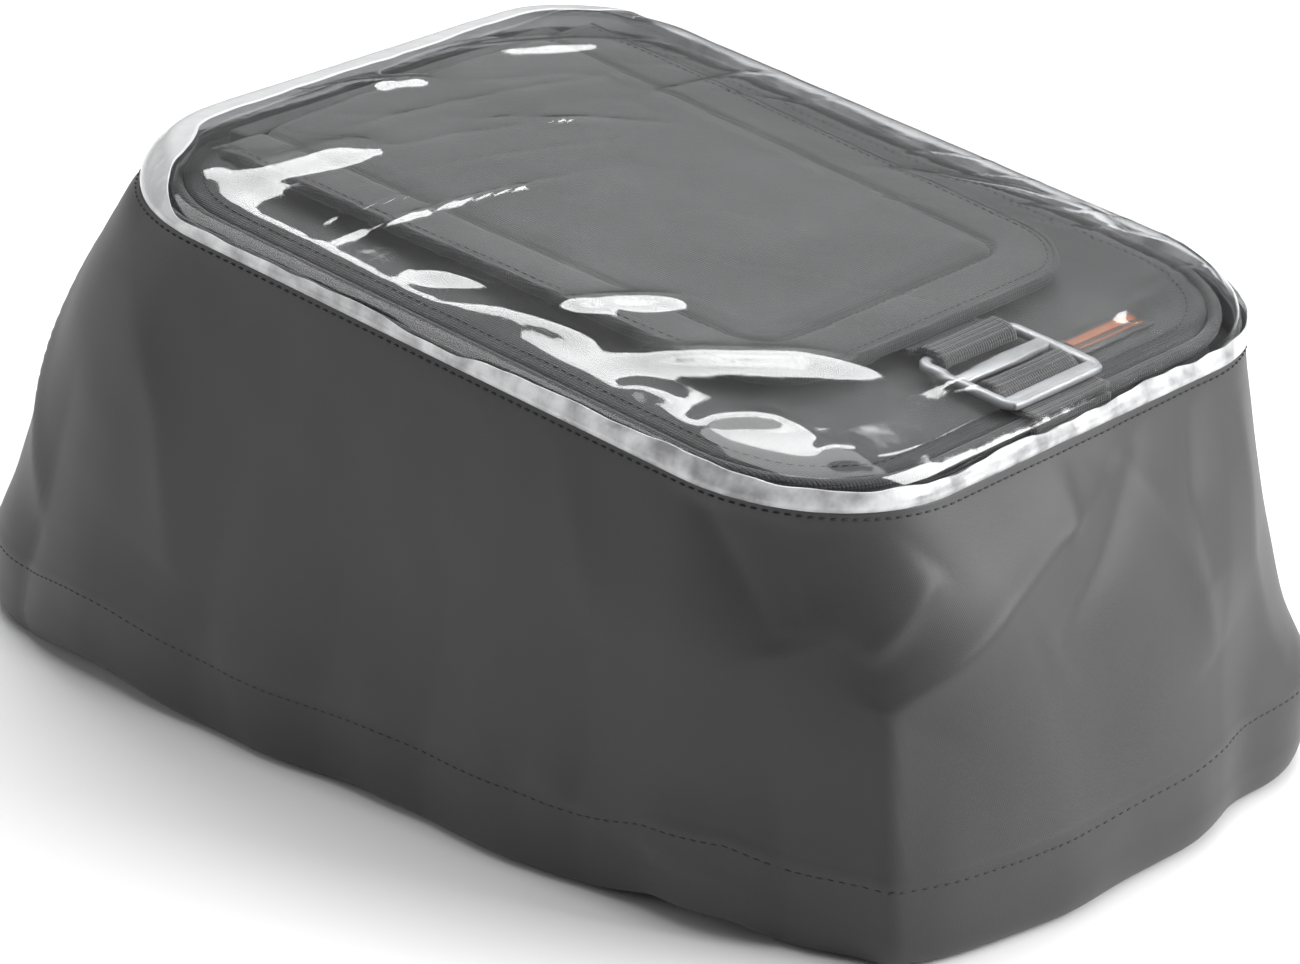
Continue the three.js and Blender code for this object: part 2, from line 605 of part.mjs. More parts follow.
// ---------------------------------------------------------------- tank ring
function tankRing() {
  const high = PAD_THICKNESS;
  const low = RING.float;
  const ceiling = high - RING.ceiling;
  const lockLow = low + 1.4;
  const lockHigh = lockLow + LOCK.thickness;
  const far = 200;
  let ring = toSolid(cylinder(RING.radius, low, high, 0, 0, 48));
  ring = ring.subtract(toSolid(cylinder(RING.socket, low - 1, ceiling, 0, 0, 40)));
  // A fixed lip holds the tank's flange on the bars' side.
  const lipRing = toSolid(cylinder(RING.socket + 1, low, low + LOCK.lip, 0, 0, 40)).subtract(
    toSolid(cylinder(RING.socket - LOCK.reach, low - 1, low + LOCK.lip + 1, 0, 0, 40)),
  );
  ring = ring.add(lipRing.intersect(toSolid(block(60, far, far, 0, far / 2 + 30, 0))));
  // The lock slides in a slot on the rider's side.
  const slotHeight = LOCK.thickness + 2 * GAP;
  const slotMid = (lockLow + lockHigh) / 2;
  const slot = block(LOCK.width + 2 * GAP, RING.radius, slotHeight, 0, -RING.radius + 6, slotMid);
  ring = ring.subtract(toSolid(slot).intersect(toSolid(cylinder(RING.radius - RING.wall, 0, high, 0, 0, 48))));
  ring = ring.subtract(toSolid(block(LOCK.tabWidth + 2 * GAP, 40, slotHeight, 0, -RING.radius, slotMid)));
  for (const [x, y] of screwPlaces()) {
    ring = ring.subtract(toSolid(cylinder(SCREW.shaft + GAP, low - 1, high + 1, x, y, 10)));
    ring = ring.subtract(toSolid(cylinder(SCREW.head + GAP, low - 1, low + SCREW.headHeight + GAP, x, y, 12)));
  }
  addPiece("tank_ring", toGeometry(ring), plastic);

  // Lock: a flat bolt whose curved edge reaches into the socket, with a tab that leaves the ring.
  let lock = toSolid(block(LOCK.width, RING.radius, LOCK.thickness, 0, -RING.radius + 6, slotMid));
  lock = lock.intersect(toSolid(cylinder(LOCK.back, 0, high, 0, 0, 48)));
  lock = lock.subtract(toSolid(cylinder(RING.socket - LOCK.reach, 0, high, 0, 0, 40)));
  const tabFrom = -LOCK.back + 3;
  const tabTo = -(RING.radius + LOCK.tabLength);
  lock = lock.add(toSolid(block(LOCK.tabWidth, tabFrom - tabTo, LOCK.thickness, 0, (tabFrom + tabTo) / 2, slotMid)));
  addPiece("lock_bolt", toGeometry(lock), plastic);

  // A loop of webbing folded round the tab's end is what the hand pulls.
  const loop = LOCK.thickness / 2 + GAP + 0.5;
  const pullLine = [
    [tabTo + 10, slotMid + loop],
    [tabTo - 2, slotMid + loop],
    [tabTo - 3.4, slotMid],
    [tabTo - 2, slotMid - loop],
    [tabTo + 10, slotMid - loop],
  ];
  addPiece("lock_pull_tab", bentStrip(pullLine, LOCK.tabWidth - 8, 1), webbing);

  for (const side of [-1, 1]) addPiece(`lock_spring_${side < 0 ? "left" : "right"}`, lockSpring(side, slotMid), steel);

  screwPlaces().forEach(([x, y], k) => {
    const top = BOARD_HIGH + GAP + BACKING.thickness + 1.2;
    const profile = [
      [0, low + 0.2],
      [SCREW.head, low + 0.2],
      [SCREW.head, low + SCREW.headHeight],
      [SCREW.shaft, low + SCREW.headHeight],
      [SCREW.shaft, top],
      [0, top],
    ].map(([r, z]) => new THREE.Vector2(r, z));
    const screw = new THREE.LatheGeometry(profile, 10).rotateX(Math.PI / 2).translate(x, y, 0);
    addPiece(`ring_screw_${k + 1}`, screw, steel);
  });
  const backing = withScrewHoles(shapeOf(circlePath(0, 0, BACKING.radius, 36).getPoints().map((p) => [p.x, p.y])));
  addPiece("backing_plate", flatPlate(backing, BOARD_HIGH + GAP, BOARD_HIGH + GAP + BACKING.thickness), plastic);
}

// A compression spring beside the lock's tab, between the bolt and the ring's outer wall.
class Helix extends THREE.Curve {
  constructor(radius, length, turns) {
    super();
    Object.assign(this, { radius, length, turns });
  }
  getPoint(t, target = new THREE.Vector3()) {
    const angle = 2 * Math.PI * this.turns * t;
    return target.set(this.radius * Math.cos(angle), this.length * t, this.radius * Math.sin(angle));
  }
}
function lockSpring(side, z) {
  const offset = LOCK.tabWidth / 2 + SPRING.offset;
  const radius = LOCK.thickness / 2 - SPRING.wire;
  const boltEnd = Math.sqrt(LOCK.back ** 2 - (offset - 2) ** 2);
  const wallStart = Math.sqrt((RING.radius - RING.wall) ** 2 - (offset + 2) ** 2);
  const length = wallStart - boltEnd - 2 * SPRING.wire - 4 * GAP;
  const section = new THREE.Shape(circlePath(0, 0, SPRING.wire, 5).getPoints());
  const spring = new THREE.ExtrudeGeometry(section, {
    steps: 8 * SPRING.turns,
    bevelEnabled: false,
    extrudePath: new Helix(radius, length, SPRING.turns),
  });
  return spring.translate(side * offset, SPRING.wire + 2 * GAP - wallStart, z);
}

part.add(rainCover());
bagBase();
wallPanels();
pipingRing("lower_piping", BAG_FOOT, PIPING_RADIUS + GAP, BASE_LOW + BASE_THICKNESS, false);
pipingRing("upper_piping", BAG_TOP, PIPING_RADIUS + GAP, TOP_LOW, true);
topPanel();
zipAndLid();
flap();
strapAndBuckle();
tankRing();

export default part;
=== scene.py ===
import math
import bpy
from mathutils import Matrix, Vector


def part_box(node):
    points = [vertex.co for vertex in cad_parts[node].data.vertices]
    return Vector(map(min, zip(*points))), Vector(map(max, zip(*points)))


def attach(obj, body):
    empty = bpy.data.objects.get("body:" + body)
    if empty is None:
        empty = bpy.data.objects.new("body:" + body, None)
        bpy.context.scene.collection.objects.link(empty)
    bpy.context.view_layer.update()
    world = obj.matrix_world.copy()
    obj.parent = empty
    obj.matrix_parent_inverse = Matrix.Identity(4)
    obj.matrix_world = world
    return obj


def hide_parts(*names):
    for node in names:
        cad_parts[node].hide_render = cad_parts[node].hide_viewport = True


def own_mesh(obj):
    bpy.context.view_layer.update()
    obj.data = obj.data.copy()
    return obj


bl_info = {
    "name": "Tank bag under its rain cover",
    "version": (1, 0, 0),
    "blender": (4, 5, 0),
    "location": "3D View > Sidebar > Tank Bag",
    "description": "Builds the looks of a tank bag and its fitted rain cover around the CAD frame",
    "category": "Add Mesh",
}

import bmesh
import bpy
from bpy.props import FloatProperty, FloatVectorProperty, IntProperty, PointerProperty
from bpy.types import Operator, Panel, PropertyGroup
from mathutils import Matrix, Vector, noise

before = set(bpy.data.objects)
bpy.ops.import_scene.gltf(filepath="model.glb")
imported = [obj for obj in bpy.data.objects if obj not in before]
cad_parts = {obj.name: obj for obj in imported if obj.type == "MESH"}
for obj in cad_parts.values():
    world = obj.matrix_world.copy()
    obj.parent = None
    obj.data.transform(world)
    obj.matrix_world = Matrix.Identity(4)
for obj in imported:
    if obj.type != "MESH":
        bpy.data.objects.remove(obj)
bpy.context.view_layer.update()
MM = 0.001

# ---------------------------------------------------------------- sizes, in millimetres
# An outline is a rounded rectangle: half its width, half its length, corner radius, middle's y.
SEAM = (121, 152, 55, -27)
HEM = (131, 221, 98, 0)
BAG_TOP = (110, 139, 46, -27)
BAG_FOOT = (113, 180, 62, 0)
MOUTH = (62, 97.5, 28, -13)
SEAM_LOW, SEAM_HIGH = 135, 170
TOP_RISE = 4
TOP_SLOPE = 0.115  # rise of the bag's top for each millimetre towards the handlebar end
GAP = 0.3
SKIRT_WALL = 0.8
SKIRT_DEPTH = 145
HEM_Z = 12  # where the skirt turns under
HEM_ROUND = 11.4
HEM_TUCK = 5
WINDOW_WALL = 0.6
WINDOW_EDGE = 3.8  # how far inside the seam the window's top starts to turn down
FLAP_FREE, FLAP_HINGE = -124, 92
FLAP_HALF, FLAP_FLARE, FLAP_RADIUS = 78, 10, 30
FLAP_LOW, FLAP_HIGH = 4.2, 8.2
WEB_WIDTH, WEB_THICK = 38, 1.8
BUCKLE_FRONT, BUCKLE_BACK = -168, -131
HINGE_Y = -172.3
WALL_FOOT_Z = 12.9
RIDER_MIDDLE = 0.75  # share round an outline of the middle of the rider's end

# columns of the mesh along a long side, round a corner and along an end
SIDE, CORNER, END = 96, 44, 40
AROUND = 2 * SIDE + 2 * END + 4 * CORNER


# ---------------------------------------------------------------- settings
class CoverSettings(PropertyGroup):
    fabric: FloatVectorProperty(
        name="Fabric", description="Colour of the rain cover's fabric", subtype="COLOR",
        size=3, min=0, max=1, default=(0.04, 0.04, 0.04))
    wrinkle: FloatProperty(
        name="Window wrinkles", description="Height of the wrinkles in the clear window",
        default=1.0, min=0, max=2)
    crease: FloatProperty(
        name="Skirt creases", description="Depth of the creases in the fabric skirt",
        default=1.35, min=0, max=2)
    hem_wave: FloatProperty(
        name="Hem wave", description="How far the hem wanders from its outline",
        default=1.0, min=0, max=2)


class BagSettings(PropertyGroup):
    body: FloatVectorProperty(
        name="Body fabric", description="Colour of the bag's body fabric", subtype="COLOR",
        size=3, min=0, max=1, default=(0.01, 0.01, 0.0105))
    flap: FloatVectorProperty(
        name="Flap fabric", description="Colour of the flap's outer fabric", subtype="COLOR",
        size=3, min=0, max=1, default=(0.019, 0.019, 0.019))
    stitch: FloatProperty(
        name="Stitch length", description="Length of one stitch with its gap",
        default=0.0032, min=0.002, max=0.006, subtype="DISTANCE", unit="LENGTH")
    sag: FloatProperty(
        name="Flap crown", description="How far the flap's padding swells",
        default=0.001, min=0, max=0.004, subtype="DISTANCE", unit="LENGTH")


class StageSettings(PropertyGroup):
    key_power: FloatProperty(
        name="Key light", description="Power of the main light", default=34, min=0, max=400,
        subtype="POWER", unit="POWER")
    back_power: FloatProperty(
        name="Back light", description="Power of the light behind the bag", default=30,
        min=0, max=400, subtype="POWER", unit="POWER")
    ambient: FloatProperty(
        name="Ambient", description="Strength of the light from all round", default=0.12,
        min=0, max=2)
    seed: IntProperty(
        name="Wrinkle seed", description="Shifts the small random wrinkles", default=3, min=0, max=99)


# ---------------------------------------------------------------- number helpers
def clamp(value, low=0.0, high=1.0):
    """The value, kept between low and high."""
    return max(low, min(high, value))


def lerp(a, b, t):
    """The value a share t of the way from a to b."""
    return a + (b - a) * t


def ease(value, low, high):
    """0 below low, 1 above high, and a smooth rise between."""
    t = clamp((value - low) / (high - low))
    return t * t * (3 - 2 * t)


def bump(value, centre, half):
    """A smooth hump of height 1."""
    return math.exp(-(((value - centre) / half) ** 2))


def wave(x, y, z, scale, seed=0):
    """Smooth random unevenness of about one wave for each scale."""
    return noise.noise(Vector((x / scale + 17.3 * seed, y / scale - 5.1 * seed, z / scale + 3.7)))


def seam_z(y):
    """Height of the window seam, which climbs towards the handlebar end."""
    return SEAM_LOW + (SEAM_HIGH - SEAM_LOW) * (y - SEAM[3] + SEAM[1]) / (2 * SEAM[1])


def bag_z(y, height=0.0):
    """Height of the bag's top, plus a height above it."""
    return seam_z(y) + TOP_RISE + height


# ---------------------------------------------------------------- outlines
def outline_point(spec, u, inset=0.0):
    """A point on a rounded rectangle and its outward direction; u runs from 0 to 1."""
    w, l, radius, mid = spec
    r = max(radius - inset, 0.6)
    w, l = w - inset, l - inset
    step = (u % 1.0) * AROUND
    runs = (
        (SIDE / 2, "side", (w, 0), (w, l - r), None),
        (CORNER, "arc", (w - r, l - r), None, 0),
        (END, "side", (w - r, l), (r - w, l), None),
        (CORNER, "arc", (r - w, l - r), None, 90),
        (SIDE, "side", (-w, l - r), (-w, r - l), None),
        (CORNER, "arc", (r - w, r - l), None, 180),
        (END, "side", (r - w, -l), (w - r, -l), None),
        (CORNER, "arc", (w - r, r - l), None, 270),
        (SIDE / 2, "side", (w, r - l), (w, 0), None),
    )
    for count, kind, a, b, start in runs:
        if step <= count + 1e-9:
            t = min(step / count, 1.0)
            if kind == "arc":
                angle = math.radians(start + 90 * t)
                nx, ny = math.cos(angle), math.sin(angle)
                return a[0] + r * nx, a[1] + r * ny + mid, nx, ny
            x, y = lerp(a[0], b[0], t), lerp(a[1], b[1], t)
            dx, dy = b[0] - a[0], b[1] - a[1]
            size = math.hypot(dx, dy) or 1
            return x, y + mid, dy / size, -dx / size
        step -= count
    return w, mid, 1.0, 0.0


def inset_of(spec, x, y):
    """How far inside a rounded rectangle a point is."""
    w, l, r, mid = spec
    qx, qy = abs(x) - (w - r), abs(y - mid) - (l - r)
    return r - math.hypot(max(qx, 0), max(qy, 0)) - min(max(qx, qy), 0)


def outline_length(spec):
    """Length round a rounded rectangle."""
    w, l, r, _ = spec
    return 4 * (w + l - 2 * r) + 2 * math.pi * r


def even_shares(spec, pitch, inset=0.0):
    """Shares u round an outline, one every pitch."""
    fine = [outline_point(spec, i / 2000, inset) for i in range(2001)]
    along = [0.0]
    for a, b in zip(fine, fine[1:]):
        along.append(along[-1] + math.hypot(b[0] - a[0], b[1] - a[1]))
    count = int(along[-1] / pitch)
    shares, k = [], 0
    for i in range(count):
        target = along[-1] * i / count
        while along[k + 1] < target:
            k += 1
        shares.append((k + (target - along[k]) / (along[k + 1] - along[k])) / 2000)
    return shares


# ---------------------------------------------------------------- mesh helpers
def new_piece(name, bm, material, body, replaces=()):
    """Makes an object of a bmesh, in metres, on a CAD body."""
    bmesh.ops.recalc_face_normals(bm, faces=bm.faces[:])
    mesh = bpy.data.meshes.new(name)
    bm.to_mesh(mesh)
    bm.free()
    mesh.transform(Matrix.Scale(MM, 4))
    for polygon in mesh.polygons:
        polygon.use_smooth = True
    obj = bpy.data.objects.new(name, mesh)
    bpy.context.collection.objects.link(obj)
    mesh.materials.append(MATERIALS[material])
    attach(obj, body)
    if replaces:
        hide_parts(*replaces)
    return obj


def add_wall(obj, thickness, offset=-1.0):
    """Gives a skin its thickness; -1 is inwards."""
    wall = obj.modifiers.new("Wall", "SOLIDIFY")
    wall.thickness = thickness * MM
    wall.offset = offset
    wall.use_even_offset = True
    wall.use_quality_normals = True
    return wall


def start_loop(bm, points):
    """A closed loop of edges through points."""
    verts = [bm.verts.new(p) for p in points]
    pairs = zip(verts, verts[1:] + verts[:1])
    return verts, [bm.edges.new(pair) for pair in pairs]


def extrude_to(bm, verts, edges, points):
    """Extrudes a loop of edges and moves the new loop onto points."""
    old = {v: i for i, v in enumerate(verts)}
    geom = bmesh.ops.extrude_edge_only(bm, edges=edges)["geom"]
    fresh = [None] * len(verts)
    for item in geom:
        if isinstance(item, bmesh.types.BMVert):
            for edge in item.link_edges:
                other = edge.other_vert(item)
                if other in old:
                    fresh[old[other]] = item
                    break
    made = set(fresh)
    new_edges = [item for item in geom
                 if isinstance(item, bmesh.types.BMEdge) and made.issuperset(item.verts)]
    for vert, point in zip(fresh, points):
        vert.co = point
    return fresh, new_edges


def loft(bm, rows, cap=False):
    """A skin through rows of points, by extruding the first row."""
    verts, edges = start_loop(bm, rows[0])
    if cap:
        bmesh.ops.contextual_create(bm, geom=edges)
    for row in rows[1:]:
        verts, edges = extrude_to(bm, verts, edges, row)
    if cap:
        bmesh.ops.contextual_create(bm, geom=edges)


def ring_loft(bm, profile, place):
    """A closed ring: each profile point becomes a loop, and the last joins the first."""
    rows = [[place(i / AROUND, point) for i in range(AROUND)] for point in profile]
    verts, first_edges = start_loop(bm, rows[0])
    edges = first_edges
    for row in rows[1:]:
        verts, edges = extrude_to(bm, verts, edges, row)
    bmesh.ops.bridge_loops(bm, edges=first_edges + edges)


def smooth_line(points, step=1.5):
    """A smooth curve through points, as evenly spaced points."""
    pts = [Vector(p) for p in points]
    ends = [pts[0] * 2 - pts[1]] + pts + [pts[-1] * 2 - pts[-2]]
    out = []
    for i in range(1, len(ends) - 2):
        p0, p1, p2, p3 = ends[i - 1:i + 3]
        count = max(2, int((p2 - p1).length / step))
        for k in range(count):
            t = k / count
            out.append(0.5 * ((2 * p1) + (p2 - p0) * t + (2 * p0 - 5 * p1 + 4 * p2 - p3) * t * t
                              + (3 * p1 - p0 - 3 * p2 + p3) * t ** 3))
    out.append(pts[-1])
    return out


def ribbon(bm, line, width, thickness):
    """A strip of webbing along a line in the YZ plane, with a thick woven edge on each side."""
    line = smooth_line(line)
    half, t = width / 2, thickness / 2
    section = [(-half, 0), (-half + 0.4, -t), (-half + 2.2, -t), (-half + 3, -t * 0.8), (0, -t * 0.8),
               (half - 3, -t * 0.8), (half - 2.2, -t), (half - 0.4, -t), (half, 0), (half - 0.4, t),
               (half - 2.2, t), (half - 3, t * 0.8), (0, t * 0.8), (-half + 3, t * 0.8),
               (-half + 2.2, t), (-half + 0.4, t)]
    rows = []
    for i, p in enumerate(line):
        ahead, behind = line[min(i + 1, len(line) - 1)], line[max(i - 1, 0)]
        along = (ahead - behind).normalized()
        up = Vector((0, -along.z, along.y))
        rows.append([Vector((x, 0, 0)) + p + up * h for x, h in section])
    loft(bm, rows, cap=True)


def rounded_block(bm, size, centre, radius, segments=2, turn=None):
    """A box with rounded edges."""
    made = bmesh.ops.create_cube(bm, size=1)["verts"]
    bmesh.ops.scale(bm, vec=size, verts=made)
    edges = list({e for v in made for e in v.link_edges})
    out = bmesh.ops.bevel(bm, geom=edges, offset=radius, offset_type="OFFSET", segments=segments,
                          profile=0.5, affect="EDGES", material=-1)
    verts = list({v for f in out["faces"] for v in f.verts} | {v for v in made if v.is_valid})
    if turn is not None:
        bmesh.ops.rotate(bm, cent=(0, 0, 0), matrix=turn, verts=verts)
    bmesh.ops.translate(bm, vec=centre, verts=verts)


def stitch_row(bm, places, length=2.2, radius=0.32):
    """Short rounded stitches: places are (point, direction along the seam, outward direction)."""
    shape = bmesh.new()
    bmesh.ops.create_uvsphere(shape, u_segments=6, v_segments=4, radius=1)
    one = bpy.data.meshes.new("stitch")
    shape.to_mesh(one)
    shape.free()
    for point, along, out in places:
        along = Vector(along).normalized()
        out = Vector(out).normalized()
        side = out.cross(along).normalized()
        turn = Matrix((side, along, out)).transposed().to_4x4()
        stretch = Matrix.Diagonal((radius, length / 2, radius * 0.8, 1))
        spot = Matrix.Translation(Vector(point)) @ turn @ stretch
        one.transform(spot)
        bm.from_mesh(one)
        one.transform(spot.inverted())
    bpy.data.meshes.remove(one)


def outline_stitches(spec, pitch, place):
    """Places for a row of stitches along an outline."""
    out = []
    for u in even_shares(spec, pitch):
        a, b = Vector(place(u)), Vector(place(u + 0.002))
        _, _, nx, ny = outline_point(spec, u)
        out.append((a, b - a, (nx, ny, 0.15)))
    return out


def tube_ring(bm, spec, centre_inset, z_of, radius, sides, ripple):
    """A closed round tube along an outline."""
    profile = [2 * math.pi * k / sides for k in range(sides)]

    def place(u, angle):
        x, y, nx, ny = outline_point(spec, u, centre_inset)
        r = radius * (1 + ripple(u))
        d = r * math.cos(angle)
        return (x + nx * d, y + ny * d, z_of(y) + r * math.sin(angle))

    ring_loft(bm, profile, place)


# ---------------------------------------------------------------- material helpers
def add_node(tree, kind, place=(0, 0), **settings):
    node = tree.nodes.new(kind)
    node.location = place
    for key, value in settings.items():
        setattr(node, key, value)
    return node


def group_start(name, inputs, outputs):
    tree = bpy.data.node_groups.new(name, "ShaderNodeTree")
    for label, kind, value in inputs:
        socket = tree.interface.new_socket(name=label, in_out="INPUT", socket_type=kind)
        if value is not None:
            socket.default_value = value
    for label, kind in outputs:
        tree.interface.new_socket(name=label, in_out="OUTPUT", socket_type=kind)
    entry = add_node(tree, "NodeGroupInput", (-900, 0))
    leave = add_node(tree, "NodeGroupOutput", (700, 0))
    return tree, entry, leave


def math_node(tree, operation, a, b=None, place=(0, 0)):
    node = add_node(tree, "ShaderNodeMath", place, operation=operation)
    for i, value in enumerate((a, b)):
        if value is None:
            continue
        if isinstance(value, (int, float)):
            node.inputs[i].default_value = value
        else:
            tree.links.new(value, node.inputs[i])
    return node.outputs[0]


def woven_group():
    """Plain weave: threads over and under each other, with slubs and a slow change of shade."""
    tree, entry, leave = group_start(
        "Woven cloth",
        [("Vector", "NodeSocketVector", None), ("Thread", "NodeSocketFloat", 0.0009),
         ("Mottle", "NodeSocketFloat", 0.25)],
        [("Shade", "NodeSocketFloat"), ("Height", "NodeSocketFloat")])
    split = add_node(tree, "ShaderNodeSeparateXYZ", (-700, 0))
    tree.links.new(entry.outputs["Vector"], split.inputs[0])
    turn = math_node(tree, "DIVIDE", math.pi, entry.outputs["Thread"], (-700, -200))
    u = math_node(tree, "SINE", math_node(tree, "MULTIPLY", split.outputs[0], turn))
    v = math_node(tree, "SINE", math_node(tree, "MULTIPLY", split.outputs[1], turn))
    weave = math_node(tree, "ABSOLUTE", math_node(tree, "MULTIPLY", u, v))
    slub = add_node(tree, "ShaderNodeTexNoise", (-500, -300))
    slub.inputs["Scale"].default_value = 420
    slub.inputs["Detail"].default_value = 2
    tree.links.new(entry.outputs["Vector"], slub.inputs["Vector"])
    mottle = add_node(tree, "ShaderNodeTexNoise", (-500, -500))
    mottle.inputs["Scale"].default_value = 14
    mottle.inputs["Detail"].default_value = 5
    mottle.inputs["Roughness"].default_value = 0.6
    tree.links.new(entry.outputs["Vector"], mottle.inputs["Vector"])
    height = math_node(tree, "ADD", weave, math_node(tree, "MULTIPLY", slub.outputs["Fac"], 0.6))
    tree.links.new(height, leave.inputs["Height"])
    slow = math_node(tree, "MULTIPLY", math_node(tree, "SUBTRACT", mottle.outputs["Fac"], 0.5),
                     entry.outputs["Mottle"])
    fine = math_node(tree, "MULTIPLY", math_node(tree, "SUBTRACT", height, 0.9), 0.1)
    shade = math_node(tree, "ADD", math_node(tree, "ADD", slow, fine), 1.0)
    tree.links.new(shade, leave.inputs["Shade"])
    return tree


def dust_group():
    """Light dust and scuffs that gather in patches."""
    tree, entry, leave = group_start(
        "Dust and scuffs",
        [("Vector", "NodeSocketVector", None), ("Scale", "NodeSocketFloat", 30.0),
         ("Amount", "NodeSocketFloat", 0.2)],
        [("Mask", "NodeSocketFloat")])
    cloud = add_node(tree, "ShaderNodeTexNoise", (-600, 0))
    cloud.inputs["Detail"].default_value = 7
    cloud.inputs["Roughness"].default_value = 0.7
    tree.links.new(entry.outputs["Vector"], cloud.inputs["Vector"])
    tree.links.new(entry.outputs["Scale"], cloud.inputs["Scale"])
    ramp = add_node(tree, "ShaderNodeMapRange", (-300, 0))
    ramp.inputs["From Min"].default_value = 0.48
    ramp.inputs["From Max"].default_value = 0.8
    tree.links.new(cloud.outputs["Fac"], ramp.inputs["Value"])
    tree.links.new(math_node(tree, "MULTIPLY", ramp.outputs[0], entry.outputs["Amount"]),
                   leave.inputs["Mask"])
    return tree


def use_group(tree, name, maker, **values):
    group = bpy.data.node_groups.get(name) or maker()
    node = add_node(tree, "ShaderNodeGroup", (-500, 0), node_tree=group)
    for key, value in values.items():
        if isinstance(value, bpy.types.NodeSocket):
            tree.links.new(value, node.inputs[key])
        else:
            node.inputs[key].default_value = value
    return node


def start_material(name, roughness, **sockets):
    material = bpy.data.materials.new(name)
    material.use_nodes = True
    tree = material.node_tree
    shader = tree.nodes["Principled BSDF"]
    shader.inputs["Roughness"].default_value = roughness
    for key, value in sockets.items():
        shader.inputs[key.replace("_", " ")].default_value = value
    return material, tree, shader


def tint(tree, base, shade, place=(-200, 200)):
    """The base colour times a changing shade."""
    mix = add_node(tree, "ShaderNodeVectorMath", place, operation="SCALE")
    mix.inputs[0].default_value = base
    tree.links.new(shade, mix.inputs["Scale"])
    return mix.outputs[0]


def blend_colour(tree, mask, low, high):
    mix = add_node(tree, "ShaderNodeMix", (-100, 100), data_type="RGBA")
    tree.links.new(mask, mix.inputs["Factor"])
    for socket, value in ((mix.inputs["A"], low), (mix.inputs["B"], high)):
        if isinstance(value, bpy.types.NodeSocket):
            tree.links.new(value, socket)
        else:
            socket.default_value = (*value, 1)
    return mix.outputs["Result"]


def add_bump(tree, shader, height, distance, strength=1.0):
    node = add_node(tree, "ShaderNodeBump", (-150, -300))
    node.inputs["Distance"].default_value = distance
    node.inputs["Strength"].default_value = strength
    tree.links.new(height, node.inputs["Height"])
    tree.links.new(node.outputs[0], shader.inputs["Normal"])


def cloth_material(name, base, thread, roughness, bump_depth, sheen, mottle=0.25, dust=0.1, use_uv=True):
    material, tree, shader = start_material(
        name, roughness, Sheen_Weight=sheen, Sheen_Roughness=0.45, Specular_IOR_Level=0.35)
    where = add_node(tree, "ShaderNodeTexCoord", (-900, 0))
    vector = where.outputs["UV" if use_uv else "Object"]
    weave = use_group(tree, "Woven cloth", woven_group, Vector=vector, Thread=thread, Mottle=mottle)
    grime = use_group(tree, "Dust and scuffs", dust_group, Vector=where.outputs["Object"], Scale=26.0,
                      Amount=dust)
    colour = blend_colour(tree, grime.outputs["Mask"], tint(tree, base, weave.outputs["Shade"]),
                          tuple(min(1, c * 1.5 + 0.012) for c in base))
    tree.links.new(colour, shader.inputs["Base Color"])
    rough = math_node(tree, "ADD", math_node(tree, "MULTIPLY", grime.outputs["Mask"], 0.5), roughness)
    tree.links.new(rough, shader.inputs["Roughness"])
    add_bump(tree, shader, weave.outputs["Height"], bump_depth)
    return material


def grained_material(name, base, roughness, scale, depth, metallic=0.0, wear=0.15, stretch=(1, 1, 1),
                     **sockets):
    """Moulded plastic, rubber or metal: a fine grain, with scuffs that change its roughness."""
    material, tree, shader = start_material(name, roughness, Metallic=metallic, **sockets)
    where = add_node(tree, "ShaderNodeTexCoord", (-1100, 0))
    mapping = add_node(tree, "ShaderNodeMapping", (-900, 0))
    mapping.inputs["Scale"].default_value = stretch
    tree.links.new(where.outputs["Object"], mapping.inputs["Vector"])
    grain = add_node(tree, "ShaderNodeTexNoise", (-700, -200))
    grain.inputs["Scale"].default_value = scale
    grain.inputs["Detail"].default_value = 3
    tree.links.new(mapping.outputs[0], grain.inputs["Vector"])
    scuff = use_group(tree, "Dust and scuffs", dust_group, Vector=where.outputs["Object"], Scale=60.0,
                      Amount=wear)
    colour = blend_colour(tree, scuff.outputs["Mask"], base, tuple(min(1, c * 1.5 + 0.03) for c in base))
    tree.links.new(colour, shader.inputs["Base Color"])
    rough = math_node(tree, "ADD", math_node(tree, "MULTIPLY", grain.outputs["Fac"], 0.18),
                      math_node(tree, "ADD", math_node(tree, "MULTIPLY", scuff.outputs["Mask"], 0.6),
                                roughness - 0.09))
    tree.links.new(rough, shader.inputs["Roughness"])
    add_bump(tree, shader, grain.outputs["Fac"], depth)
    return material


def webbing_material():
    """Ribbed webbing: ribs across the strap on a fine weave."""
    material, tree, shader = start_material("Webbing", 0.72, Sheen_Weight=0.25, Sheen_Roughness=0.5)
    where = add_node(tree, "ShaderNodeTexCoord", (-900, 0))
    weave = use_group(tree, "Woven cloth", woven_group, Vector=where.outputs["UV"], Thread=0.0011,
                      Mottle=0.3)
    ribs = add_node(tree, "ShaderNodeTexWave", (-600, -300), bands_direction="Y")
    ribs.inputs["Scale"].default_value = 150
    ribs.inputs["Distortion"].default_value = 0.05
    tree.links.new(where.outputs["UV"], ribs.inputs["Vector"])
    height = math_node(tree, "ADD", math_node(tree, "MULTIPLY", ribs.outputs["Fac"], 1.4),
                       weave.outputs["Height"])
    shade = math_node(tree, "ADD", weave.outputs["Shade"],
                      math_node(tree, "MULTIPLY", ribs.outputs["Fac"], 0.3))
    tree.links.new(tint(tree, (0.012, 0.012, 0.0125), shade), shader.inputs["Base Color"])
    add_bump(tree, shader, height, 0.0004)
    return material


